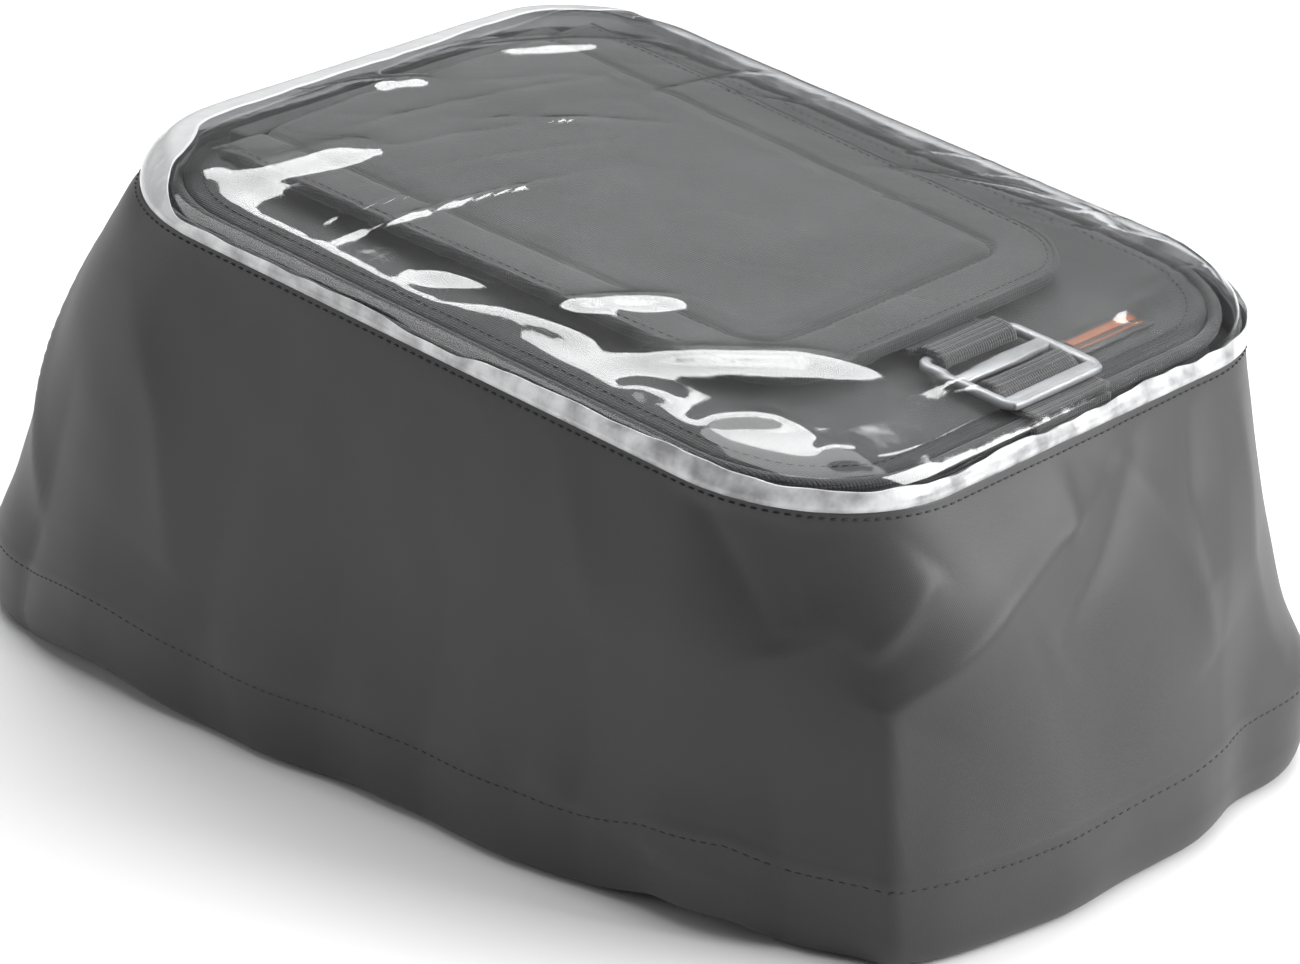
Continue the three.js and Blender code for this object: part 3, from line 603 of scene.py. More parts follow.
def vinyl_material():
    """Clear soft vinyl. Light passes straight through to what is under it."""
    material, tree, shader = start_material(
        "Clear vinyl", 0.06, IOR=1.46, Transmission_Weight=1.0)
    shader.inputs["Base Color"].default_value = (0.93, 0.94, 0.95, 1)
    where = add_node(tree, "ShaderNodeTexCoord", (-900, 0))
    haze = use_group(tree, "Dust and scuffs", dust_group, Vector=where.outputs["Object"], Scale=22.0,
                     Amount=0.05)
    tree.links.new(math_node(tree, "ADD", haze.outputs["Mask"], 0.05), shader.inputs["Roughness"])
    ripple = add_node(tree, "ShaderNodeTexNoise", (-700, -300))
    ripple.inputs["Scale"].default_value = 38
    ripple.inputs["Detail"].default_value = 3
    tree.links.new(where.outputs["Object"], ripple.inputs["Vector"])
    add_bump(tree, shader, ripple.outputs["Fac"], 0.00025)
    clear = add_node(tree, "ShaderNodeBsdfTransparent", (100, -200))
    path = add_node(tree, "ShaderNodeLightPath", (100, 400))
    through = math_node(tree, "MAXIMUM", path.outputs["Is Shadow Ray"], path.outputs["Is Diffuse Ray"])
    mix = add_node(tree, "ShaderNodeMixShader", (400, 0))
    tree.links.new(through, mix.inputs[0])
    tree.links.new(shader.outputs[0], mix.inputs[1])
    tree.links.new(clear.outputs[0], mix.inputs[2])
    tree.links.new(mix.outputs[0], tree.nodes["Material Output"].inputs["Surface"])
    return material


def border_material():
    """The window's folded edge: several layers of vinyl, milky where they meet, with a painted highlight
    that whitens it towards the handlebar end.
    """
    material, tree, shader = start_material(
        "Vinyl edge", 0.26, IOR=1.45, Transmission_Weight=0.3, Coat_Weight=0.5, Coat_Roughness=0.12,
        Subsurface_Weight=0.4, Subsurface_Scale=0.002, Subsurface_Radius=(1, 1, 1))
    where = add_node(tree, "ShaderNodeTexCoord", (-900, 0))
    cloud = add_node(tree, "ShaderNodeTexNoise", (-700, 0))
    cloud.inputs["Scale"].default_value = 90
    cloud.inputs["Detail"].default_value = 4
    tree.links.new(where.outputs["Object"], cloud.inputs["Vector"])
    ramp = add_node(tree, "ShaderNodeMapRange", (-500, 0))
    ramp.inputs["From Min"].default_value = 0.35
    ramp.inputs["From Max"].default_value = 0.62
    tree.links.new(cloud.outputs["Fac"], ramp.inputs["Value"])
    split = add_node(tree, "ShaderNodeSeparateXYZ", (-700, 300))
    tree.links.new(where.outputs["Object"], split.inputs[0])
    # painted highlight: the edge's colour turns near white towards the handlebar end, standing in for the
    # reflection along that shoulder
    painted_highlight_bars_end = add_node(tree, "ShaderNodeMapRange", (-500, 300))
    painted_highlight_bars_end.inputs["From Min"].default_value = 0.06
    painted_highlight_bars_end.inputs["From Max"].default_value = 0.12
    tree.links.new(split.outputs["Y"], painted_highlight_bars_end.inputs["Value"])
    # mixes the random milky patches (own tone) with the painted highlight at the handlebar end
    milky_and_painted_highlight = math_node(tree, "MAXIMUM", painted_highlight_bars_end.outputs[0],
                      math_node(tree, "MULTIPLY", ramp.outputs[0], 0.8))
    colour = blend_colour(tree, milky_and_painted_highlight, (0.34, 0.34, 0.35), (0.93, 0.94, 0.95))
    tree.links.new(colour, shader.inputs["Base Color"])
    add_bump(tree, shader, cloud.outputs["Fac"], 0.0008)
    return material


MATERIALS = {}


def make_materials():
    """Makes every material, from the colours in the settings."""
    cover = bpy.context.scene.rain_cover_settings
    bag = bpy.context.scene.tank_bag_settings
    MATERIALS.update(
        cover=cloth_material("Cover fabric", tuple(cover.fabric), 0.0006, 0.48, 0.00002, 0.06, mottle=0.16,
                             dust=0.03),
        vinyl=vinyl_material(),
        border=border_material(),
        body=cloth_material("Body fabric", tuple(bag.body), 0.001, 0.75, 0.00016, 0.2, mottle=0.3),
        flap=cloth_material("Flap fabric", tuple(bag.flap), 0.0009, 0.7, 0.00014, 0.2, mottle=0.25),
        trim=cloth_material("Woven trim", (0.016, 0.016, 0.017), 0.001, 0.7, 0.0002, 0.2),
        hidden=cloth_material("Bag base fabric", (0.03, 0.03, 0.031), 0.0013, 0.8, 0.0003, 0.2,
                              use_uv=False),
        webbing=webbing_material(),
        thread=grained_material("Dark thread", (0.012, 0.012, 0.012), 0.6, 3000, 0.0001),
        seam_thread=grained_material("Seam thread", (0.008, 0.008, 0.008), 0.55, 3000, 0.0001),
        foam=grained_material("Non-slip foam", (0.02, 0.02, 0.021), 0.85, 900, 0.0006, wear=0.3),
        plastic=grained_material("Moulded plastic", (0.018, 0.019, 0.02), 0.45, 1400, 0.0001),
        buckle=grained_material("Satin metal", (0.3, 0.305, 0.31), 0.4, 260, 0.00004, metallic=0.4,
                                wear=0.3,
                                stretch=(1, 8, 8)),
        steel=grained_material("Plain steel", (0.6, 0.61, 0.62), 0.3, 500, 0.00003, metallic=1.0),
        elastic=grained_material("Covered elastic", (0.014, 0.014, 0.014), 0.85, 1800, 0.0002),
        badge=grained_material("Badge rubber", (0.2, 0.062, 0.02), 0.55, 700, 0.00005),
    )


def give_box_uv(obj):
    """A UV map in metres, from the side each face looks to, for woven patterns."""
    mesh = obj.data
    layer = mesh.uv_layers.new(name="Cloth")
    for polygon in mesh.polygons:
        n = polygon.normal
        ax, ay, az = abs(n.x), abs(n.y), abs(n.z)
        for i in polygon.loop_indices:
            p = mesh.vertices[mesh.loops[i].vertex_index].co
            if az >= ax and az >= ay:
                layer.data[i].uv = (p.x, p.y)
            elif ax >= ay:
                layer.data[i].uv = (p.y, p.z)
            else:
                layer.data[i].uv = (p.x, p.z)


# ---------------------------------------------------------------- rain cover
def hem_wander(x, y):
    """How far the loose hem stands in (+) or out (-) of its outline, at a point of the outline."""
    near = ease(-x, 60, 120)
    out = near * (11 * bump(y, 125, 42) + 3 * bump(y, -12, 30) + 15 * bump(y, -136, 30)
                  - 2 * bump(y, -60, 26))
    out += ease(x, 60, 120) * (8 * bump(y, 90, 50) + 7 * bump(y, -70, 40))
    out += ease(-y, 150, 215) * (4 * bump(x, -20, 60) + 6 * bump(x, 52, 25) - 2 * bump(x, -96, 20))
    out -= 7 * ease(-y, 120, 180) * bump(x, 108, 26)
    out += ease(y, 150, 215) * 3 * bump(x, 20, 60)
    return (out + 3.5) * bpy.context.scene.rain_cover_settings.hem_wave


def hem_shift(x, y):
    """The hem's way inwards and its lift off the ground: it stays clear of the bag's foot."""
    wanted = hem_wander(x, y)
    room = -inset_of(BAG_FOOT, x, y) - 13
    inward = min(wanted, room)
    return inward, clamp((wanted - inward) * 0.55, 0, 5)


# Folds of the skirt as ridges (+) and dents (-) in millimetres. Points are the distance round
# from the rider's left corner and the drop below the seam; then come the widths to the left and
# right of the line, the depth, and how much of it is left at the two ends.
SKIRT_FOLDS = (
    (((-3, 142), (2, 100), (7, 56), (14, 51), (51, 31), (108, 14)), 9, 14, 5.6, (0.8, 0.2)),
    (((3, 43), (16, 31), (30, 19)), 7, 3, 2.6, (0.0, 0.0)),
    (((-38, 6), (-30, 24), (-22, 44)), 13, 9, -2.2, (0.6, 0.0)),
    (((-12, 8), (-8, 34)), 8, 8, -1.5, (0.5, 0.0)),
    (((70, 52), (100, 34), (128, 10)), 9, 7, -1.8, (0.0, 0.6)),
    (((118, 8), (140, 44), (150, 80)), 12, 10, 2.0, (0.3, 0.0)),
    (((160, 6), (150, 30), (152, 56)), 8, 6, -1.6, (0.5, 0.0)),
    (((186, 10), (180, 60), (196, 100)), 12, 14, 1.8, (0.2, 0.3)),
    (((90, 8), (84, 26)), 4, 4, 1.2, (0.6, 0.0)),
    (((-120, 110), (-60, 124), (-20, 130)), 8, 10, 2.2, (0.0, 0.3)),
    (((-250, 130), (-190, 122), (-130, 112)), 12, 14, 1.6, (0.0, 0.0)),
    (((-270, 20), (-262, 60), (-268, 110)), 14, 18, 1.8, (0.2, 0.2)),
    (((-90, 8), (-84, 60)), 16, 16, 0.9, (0.3, 0.0)),
    (((330, 10), (318, 70), (326, 130)), 14, 18, 2.4, (0.2, 0.4)),
    (((430, 14), (470, 60), (520, 84)), 12, 12, 2.2, (0.2, 0.0)),
    (((400, 100), (440, 120), (500, 130)), 10, 12, 1.8, (0.0, 0.0)),
    (((-330, 12), (-345, 60), (-340, 120)), 14, 14, 2.6, (0.3, 0.4)),
    (((-400, 20), (-440, 70)), 12, 10, 2.0, (0.3, 0.0)),
    (((-480, 110), (-430, 124)), 10, 12, 1.6, (0.0, 0.0)),
)


def fold_height(s, drop, fold):
    """Height that one fold adds at a place of the skirt."""
    points, left, right, depth, ends = fold
    best = None
    total = len(points) - 1
    for i, ((x0, y0), (x1, y1)) in enumerate(zip(points, points[1:])):
        dx, dy = x1 - x0, y1 - y0
        t = clamp(((s - x0) * dx + (drop - y0) * dy) / (dx * dx + dy * dy))
        px, py = s - x0 - dx * t, drop - y0 - dy * t
        far = math.hypot(px, py)
        if best is None or far < best[0]:
            best = (far, (i + t) / total, dx * py - dy * px)
    far, along, side = best
    width = right if side > 0 else left
    if far > 5 * width:
        return 0.0
    least = lerp(ends[0], ends[1], along)
    strength = least + (1 - least) * math.sin(math.pi * along) ** 0.6
    soft = math.sqrt(far * far + 1.2) - 1.1
    return depth * strength * math.exp(-soft / width)


def skirt_point(u, t, fold=0.0):
    """The skirt at share u round and t down; fold is how far round the hem's edge, in mm."""
    settings = bpy.context.scene.rain_cover_settings
    _, sy, _, _ = outline_point(SEAM, u)
    hx, hy, _, _ = outline_point(HEM, u)
    power = 0.86 + 0.75 * ease(hx, 0, 90) * ease(-hy, 60, 190)
    spread = t ** power
    spec = tuple(lerp(a, b, spread) for a, b in zip(SEAM, HEM))
    x, y, nx, ny = outline_point(spec, u)
    top = seam_z(sy)
    z = lerp(top, HEM_Z, t)
    s = corner_distance(u, spec)
    drop = top - z
    off = 0.0
    if t > 0:
        fade = ease(drop, 0, 8)
        off += fade * settings.crease * sum(fold_height(s, drop, fold) for fold in SKIRT_FOLDS)
        off += 2.0 * fade * wave(x, y, z * 0.6, 70, 1) + 0.35 * fade * wave(x, y, z, 20, 2)
        # the skirt bellies out above the hem, most at the rider's right corner
        off += 2.2 * bump(z, 28, 13) + 3.0 * bump(z, 27, 14) * bump(s, 214, 34)
        # the cloth stands slack just under the seam and is drawn in by the elastic at the hem
        off += 1.6 * math.sin(math.pi * clamp(t)) - 0.6
        off += 0.45 * fade * ease(t, 0.7, 1) * math.sin(s / 10 + 2 * wave(x, y, 0, 70, 4))
        inward, lift = hem_shift(hx, hy)
        off -= inward * ease(t, 0.25, 1.0)
        z += lift * ease(t, 0.3, 1.0)
        # the pressed edge of the hem allowance
        off += 0.5 * math.exp(-(((top - HEM_Z) * (1 - t) - 17) / 1.6) ** 2)
    if fold > 0:
        turned = min(fold, HEM_ROUND)
        round_z = HEM_Z - turned
        tuck = HEM_TUCK * (1 - math.sqrt(max(0.0, 1 - (turned / HEM_ROUND) ** 2)))
        if fold > HEM_ROUND:
            tuck = HEM_TUCK + min(fold - HEM_ROUND, 4)
            round_z = 0.6 + max(0.0, fold - 14) * 0.9
        off -= tuck
        z = round_z + lift
    return Vector((x + nx * off, y + ny * off, z))


def corner_distance(u, spec):
    """Distance round the skirt from the middle of the rider's left corner, in mm; + is the rider's end."""
    centre = (SIDE * 1.5 + 2 * CORNER + END + CORNER / 2) / AROUND
    d = (u - centre + 0.5) % 1.0 - 0.5
    steps = d * AROUND
    w, l, r, _ = spec
    arc_step = math.pi / 2 * r / CORNER
    half = CORNER / 2
    if abs(steps) <= half:
        return steps * arc_step
    rest = abs(steps) - half
    straight = 2 * (w - r) / END if steps > 0 else 2 * (l - r) / SIDE
    limit = END if steps > 0 else SIDE
    return math.copysign(half * arc_step + min(rest, limit) * straight + max(0, rest - limit) * arc_step,
                         steps)


class TANKBAG_OT_cover_skirt(Operator):
    """Build the rain cover's fabric skirt with its hem"""
    bl_idname = "tankbag.cover_skirt"
    bl_label = "Cover skirt"

    def execute(self, context):
        rows = 72
        bm = bmesh.new()
        uv = bm.loops.layers.uv.new("Cloth")
        levels = [(i / rows, 0.0) for i in range(rows + 1)]
        levels += [(1.0, f) for f in (1.5, 3, 4.5, 6, 7.5, 9, 10.3, 11.4, 12.6, 14, 17, 20)]
        grid = [[skirt_point(i / AROUND, t, fold) for i in range(AROUND)] for t, fold in levels]
        loft(bm, grid)
        around = outline_length(HEM) * 0.5 + outline_length(SEAM) * 0.5
        depth = [0.0]
        for (t0, f0), (t1, f1) in zip(levels, levels[1:]):
            depth.append(depth[-1] + (t1 - t0) * SKIRT_DEPTH + (f1 - f0))
        bm.verts.index_update()
        for face in bm.faces:
            for loop in face.loops:
                row, column = divmod(loop.vert.index, AROUND)
                columns = [other.vert.index % AROUND for other in face.loops]
                if max(columns) - min(columns) > AROUND / 2 and column < AROUND / 2:
                    column += AROUND
                loop[uv].uv = (column / AROUND * around * MM, depth[row] * MM)
        skirt = new_piece("cover_skirt", bm, "cover", "rain_cover",
                          ("cover_bars_panel", "cover_left_panel", "cover_rider_panel",
                           "cover_right_panel"))
        add_wall(skirt, SKIRT_WALL)

        bm = bmesh.new()

        def along_seam(u):
            _, sy, nx, ny = outline_point(SEAM, u)
            return skirt_point(u, 3.0 / (seam_z(sy) - HEM_Z)) + Vector((nx, ny, 0)) * 0.25

        stitches = outline_stitches(SEAM, context.scene.tank_bag_settings.stitch / MM, along_seam)

        def along_hem(u):
            _, sy, _, _ = outline_point(SEAM, u)
            p = skirt_point(u, 1 - 15 / (seam_z(sy) - HEM_Z))
            _, _, nx, ny = outline_point(HEM, u)
            return p + Vector((nx, ny, 0)) * 0.05

        stitches += outline_stitches(HEM, context.scene.tank_bag_settings.stitch / MM * 1.1, along_hem)
        stitch_row(bm, stitches, 2.3, 0.3)
        new_piece("cover_stitching", bm, "seam_thread", "rain_cover")
        return {"FINISHED"}


def hem_ring_point(u, inset, z):
    """A point inside the hem, at a height z when the hem lies on the ground."""
    x, y, nx, ny = outline_point(HEM, u, inset)
    hx, hy, _, _ = outline_point(HEM, u)
    inward, lift = hem_shift(hx, hy)
    return (x - nx * inward, y - ny * inward, z + lift)


class TANKBAG_OT_cover_hem(Operator):
    """Build the elastic channel inside the hem and the tape inside the window seam"""
    bl_idname = "tankbag.cover_hem"
    bl_label = "Cover hem and elastic"

    def execute(self, context):
        def gather(u):
            return 0.10 * math.sin(2 * math.pi * u * 190) + 0.08 * wave(u * 900, 0, 0, 8, 5)

        for name, radius, slot, material, node, ripple in (
            ("cover_hem_channel", 2.0, "cover_fabric", "cover", "cover_hem_fold", gather),
            ("cover_elastic_core", 1.4, "elastic", "elastic", "cover_hem_elastic", None),
        ):
            bm = bmesh.new()
            profile = [2 * math.pi * k / 10 for k in range(10)]

            def place(u, angle, radius=radius, ripple=ripple):
                r = radius * (1 + (ripple(u) if ripple else 0))
                return hem_ring_point(u, 8.2 - r * math.cos(angle), 3.4 + r * math.sin(angle))

            ring_loft(bm, profile, place)
            give_box_uv(new_piece(name, bm, material, "rain_cover", (node,)))

        bm = bmesh.new()
        rows = []
        for inset, h in ((3.2, -9), (3.0, -5), (3.1, -1), (3.6, 1.2), (4.6, 1.6)):
            row = []
            for i in range(AROUND):
                x, y, _, _ = outline_point(SEAM, i / AROUND, inset)
                row.append((x, y, seam_z(y) + h))
            rows.append(row)
        loft(bm, rows)
        tape = new_piece("cover_inner_tape", bm, "trim", "rain_cover", ("cover_seam_tape",))
        add_wall(tape, 0.6)
        give_box_uv(tape)
        return {"FINISHED"}


# Wrinkles of the window, in plan: from, to, half width, height (mm).
WINDOW_WRINKLES = (
    ((-95, -46), (-54, -76), 5.0, 1.9),
    ((-108, -76), (-40, -142), 7.0, 2.6),
    ((-112, -120), (-90, -142), 5.0, 1.7),
    ((-112, -20), (-98, -80), 7.0, 2.6),
    ((-104, -2), (-96, -40), 5.0, 1.6),
    ((-112, -92), (-106, -112), 4.0, 1.4),
    ((-100, -156), (-84, -164), 5.0, 1.9),
    ((-114, 74), (-84, 84), 7.0, 2.8),
    ((-112, 70), (-46, 58), 8.0, 3.0),
    ((24, 98), (84, 64), 8.0, 3.0),
    ((-18, 93), (4, 84), 5.0, 1.9),
    ((-54, 94), (-6, 97), 7.0, 2.4),
    ((-112, 24), (-12, 3), 1.8, 0.8),
    ((-106, 34), (-60, 26), 1.6, 0.5),
    ((-80, 60), (30, 30), 2.4, 0.55),
    ((-90, 46), (20, 12), 2.0, 0.4),
    ((-70, 76), (60, 52), 2.6, 0.6),
    ((40, 33), (108, 28), 3.0, 0.9),
    ((-20, 60), (40, 10), 3.0, 0.7),
    ((60, -40), (104, -95), 4.0, 1.0),
    ((20, 100), (-40, 40), 5.0, 0.8),
    ((108, -95), (88, -128), 4.0, 1.4),
    ((76, 105), (100, 84), 6.0, 2.0),
    ((-60, -150), (10, -160), 4.0, 1.0),
    ((40, -158), (88, -150), 4.0, 1.2),
)


def window_height(x, y):
    """Height of the window above the seam's plane."""
    settings = bpy.context.scene.rain_cover_settings
    d = inset_of(SEAM, x, y)
    profile = ((1.8, 0), (3.8, 6.5), (8.8, 11.2), (24, 13.7), (60, 16.1), (121, 17.7))
    h = profile[-1][1]
    for (d0, h0), (d1, h1) in zip(profile, profile[1:]):
        if d <= d1:
            t = clamp((d - d0) / (d1 - d0))
            h = lerp(h0, h1, t)
            break
    ripple = 0.0
    for (x0, y0), (x1, y1), half, height in WINDOW_WRINKLES:
        dx, dy = x1 - x0, y1 - y0
        length = math.hypot(dx, dy)
        along = ((x - x0) * dx + (y - y0) * dy) / length
        across = ((x - x0) * dy - (y - y0) * dx) / length
        t = along / length
        if -0.25 < t < 1.25 and abs(across) < 4 * half:
            taper = math.exp(-((t - 0.5) / 0.42) ** 4)
            bend = across + 2.0 * math.sin(math.pi * t)
            ripple += height * taper * math.exp(-((bend / half) ** 2))
    seed = bpy.context.scene.tank_bag_stage.seed
    ripple += 0.55 * wave(x, y, 0, 46, seed) + 0.12 * wave(x, y, 5, 16, seed + 1)
    sharp = 1 - abs(wave(x + 0.4 * y, y, 2, 38, seed + 2)) * 6
    ripple += 0.25 * max(0.0, sharp) ** 2
    return h + (ripple - 0.2) * settings.wrinkle * ease(d, WINDOW_EDGE, 12)


def smooth_profile(points, count):
    """A smooth curve through flat points, as count points."""
    line = smooth_line([(a, b, 0) for a, b in points], 0.4)
    picked = [line[round(i * (len(line) - 1) / (count - 1))] for i in range(count)]
    return [(p.x, p.y) for p in picked]


class TANKBAG_OT_cover_window(Operator):
    """Build the wrinkled clear window and its folded edge"""
    bl_idname = "tankbag.cover_window"
    bl_label = "Clear window"

    def execute(self, context):
        bm = bmesh.new()
        bmesh.ops.create_grid(bm, x_segments=150, y_segments=190, size=1)
        for vert in bm.verts:
            vert.co = grid_to_outline(vert.co.x, vert.co.y, SEAM, WINDOW_EDGE)
            vert.co.z = seam_z(vert.co.y) + window_height(vert.co.x, vert.co.y)
        border = [e for e in bm.edges if e.is_boundary]
        ordered = order_loop(border)
        down = smooth_profile(((3.8, 6.5), (2.6, 3.2), (1.9, 0), (1.8, -4), (1.8, -9)), 9)[1:]
        verts, edges = ordered, border
        for inset, h in down:
            points = []
            for vert in ordered:
                x, y = nearest_on_outline(vert.co.x, vert.co.y, inset)
                points.append((x, y, seam_z(y) + h))
            verts, edges = extrude_to(bm, verts, edges, points)
        window = new_piece("cover_window_sheet", bm, "vinyl", "rain_cover",
                           ("cover_window",))
        add_wall(window, WINDOW_WALL)

        # the border climbs the same edge as the window; its reach is how far it climbs
        climb = ((0.35, -1.2), (0.1, 0.4), (0.9, 2.8), (2.3, 5.2), (3.6, 6.9), (6.1, 9.3), (8.7, 11.5),
                 (13, 12.5), (18, 13.3))
        path = smooth_line([(inset, h, 0) for inset, h in climb], 0.4)
        bm = bmesh.new()
        steps = 18
        strip = [[] for _ in range(steps + 1)]
        for i in range(AROUND):
            x, y, nx, ny = outline_point(SEAM, i / AROUND)
            reach = 4.0 + 1.8 * wave(x, y, 0, 30, 7) + 0.8 * wave(x, y, 0, 11, 8)
            reach += (19 * ease(y, 76, 112) + 3.2 * ease(-x, 60, 100) * bump(y, -115, 50)
                      + 1.4 * ease(-y, 150, 178))
            for k, row in enumerate(strip):
                share = k / steps
                place = min(share * reach / 0.4, len(path) - 1.001)
                p = path[int(place)].lerp(path[int(place) + 1], place % 1)
                pucker = 0.16 * wave(x, y, k, 7, 9) * share + 0.2 * wave(x, y, 0, 18, 10)
                out = 0.3 + pucker - p.x
                px, py = x + nx * out, y + ny * out
                row.append((px, py, seam_z(py) + p.y + 0.3 + pucker * 0.5))
        loft(bm, strip)
        edge = new_piece("cover_window_border", bm, "border", "rain_cover")
        add_wall(edge, 0.35, 1.0).use_even_offset = False
        return {"FINISHED"}


def order_loop(edges):
    """The vertices of a closed loop of edges, in order."""
    links = {}
    for edge in edges:
        for vert in edge.verts:
            links.setdefault(vert, []).append(edge)
    start = edges[0].verts[0]
    loop, edge, vert = [start], edges[0], edges[0].verts[1]
    while vert is not start:
        loop.append(vert)
        edge = next(e for e in links[vert] if e is not edge)
        vert = edge.other_vert(vert)
    return loop


def nearest_on_outline(x, y, inset):
    """The nearest point of the seam's outline, moved in by inset."""
    w, l, r, mid = SEAM
    yy = y - mid
    qx, qy = abs(x) - (w - r), abs(yy) - (l - r)
    if qx > 0 and qy > 0:
        size = math.hypot(qx, qy)
        reach = r - inset
        out_x, out_y = w - r + qx / size * reach, l - r + qy / size * reach
        return math.copysign(out_x, x), math.copysign(out_y, yy) + mid
    if qx > qy:
        return math.copysign(w - inset, x), y
    return x, math.copysign(l - inset, yy) + mid


# ---------------------------------------------------------------- bag body
def wall_point(u, t):
    """A point of the bag's wall at share u round and t up, with its belly and corner seams."""
    spec = tuple(lerp(a, b, t) for a, b in zip(BAG_FOOT, BAG_TOP))
    _, top_y, _, _ = outline_point(BAG_TOP, u)
    x, y, nx, ny = outline_point(spec, u)
    top = bag_z(top_y, -2.8)
    z = lerp(WALL_FOOT_Z, top, t)
    belly = math.sin(math.pi * clamp(t))
    off = 1.8 * belly + 1.4 * belly * wave(x, y, z, 45, 11) + 0.5 * belly * wave(x, y, z, 16, 12)
    corners = [SIDE / 2 + CORNER / 2, SIDE / 2 + CORNER * 1.5 + END, SIDE * 1.5 + CORNER * 2.5 + END,
               SIDE * 1.5 + CORNER * 3.5 + 2 * END]
    step = (u % 1.0) * AROUND
    for c in corners:
        off -= 1.3 * bump(step, c, 0.9) - 0.5 * bump(step, c - 2.4, 1.2) - 0.5 * bump(step, c + 2.4, 1.2)
    return Vector((x + nx * off, y + ny * off, z))


class TANKBAG_OT_bag_walls(Operator):
    """Build the bag's padded walls with their corner seams and piping"""
    bl_idname = "tankbag.bag_walls"
    bl_label = "Bag walls"

    def execute(self, context):
        bm = bmesh.new()
        rows = 34
        loft(bm, [[wall_point(i / AROUND, k / rows) for i in range(AROUND)] for k in range(rows + 1)])
        walls = new_piece("bag_walls", bm, "body", "bag",
                          ("bars_end_panel", "left_side_panel", "rider_end_panel", "right_side_panel"))
        give_box_uv(walls)
        add_wall(walls, 4.6)

        for name, spec, z_of, node in (
            ("bag_lower_piping", BAG_FOOT, lambda y: 12.3, "lower_piping"),
            ("bag_upper_piping", BAG_TOP, lambda y: bag_z(y, -2.3), "upper_piping"),
        ):
            bm = bmesh.new()
            tube_ring(bm, spec, -2.5, z_of, 2.3, 12, lambda u: 0.04 * wave(u * 3000, 0, 0, 9, 13))
            give_box_uv(new_piece(name, bm, "trim", "bag", (node,)))
        return {"FINISHED"}


def top_height(x, y):
    """Height of the bag's soft top above its own plane."""
    d = inset_of(BAG_TOP, x, y)
    unevenness = 0.9 * wave(x, y, 0, 34, 14) * ease(d, 4, 16)
    return -1.2 * (1 - ease(d, 0, 9)) + unevenness + 0.3 * wave(x, y, 0, 12, 15)


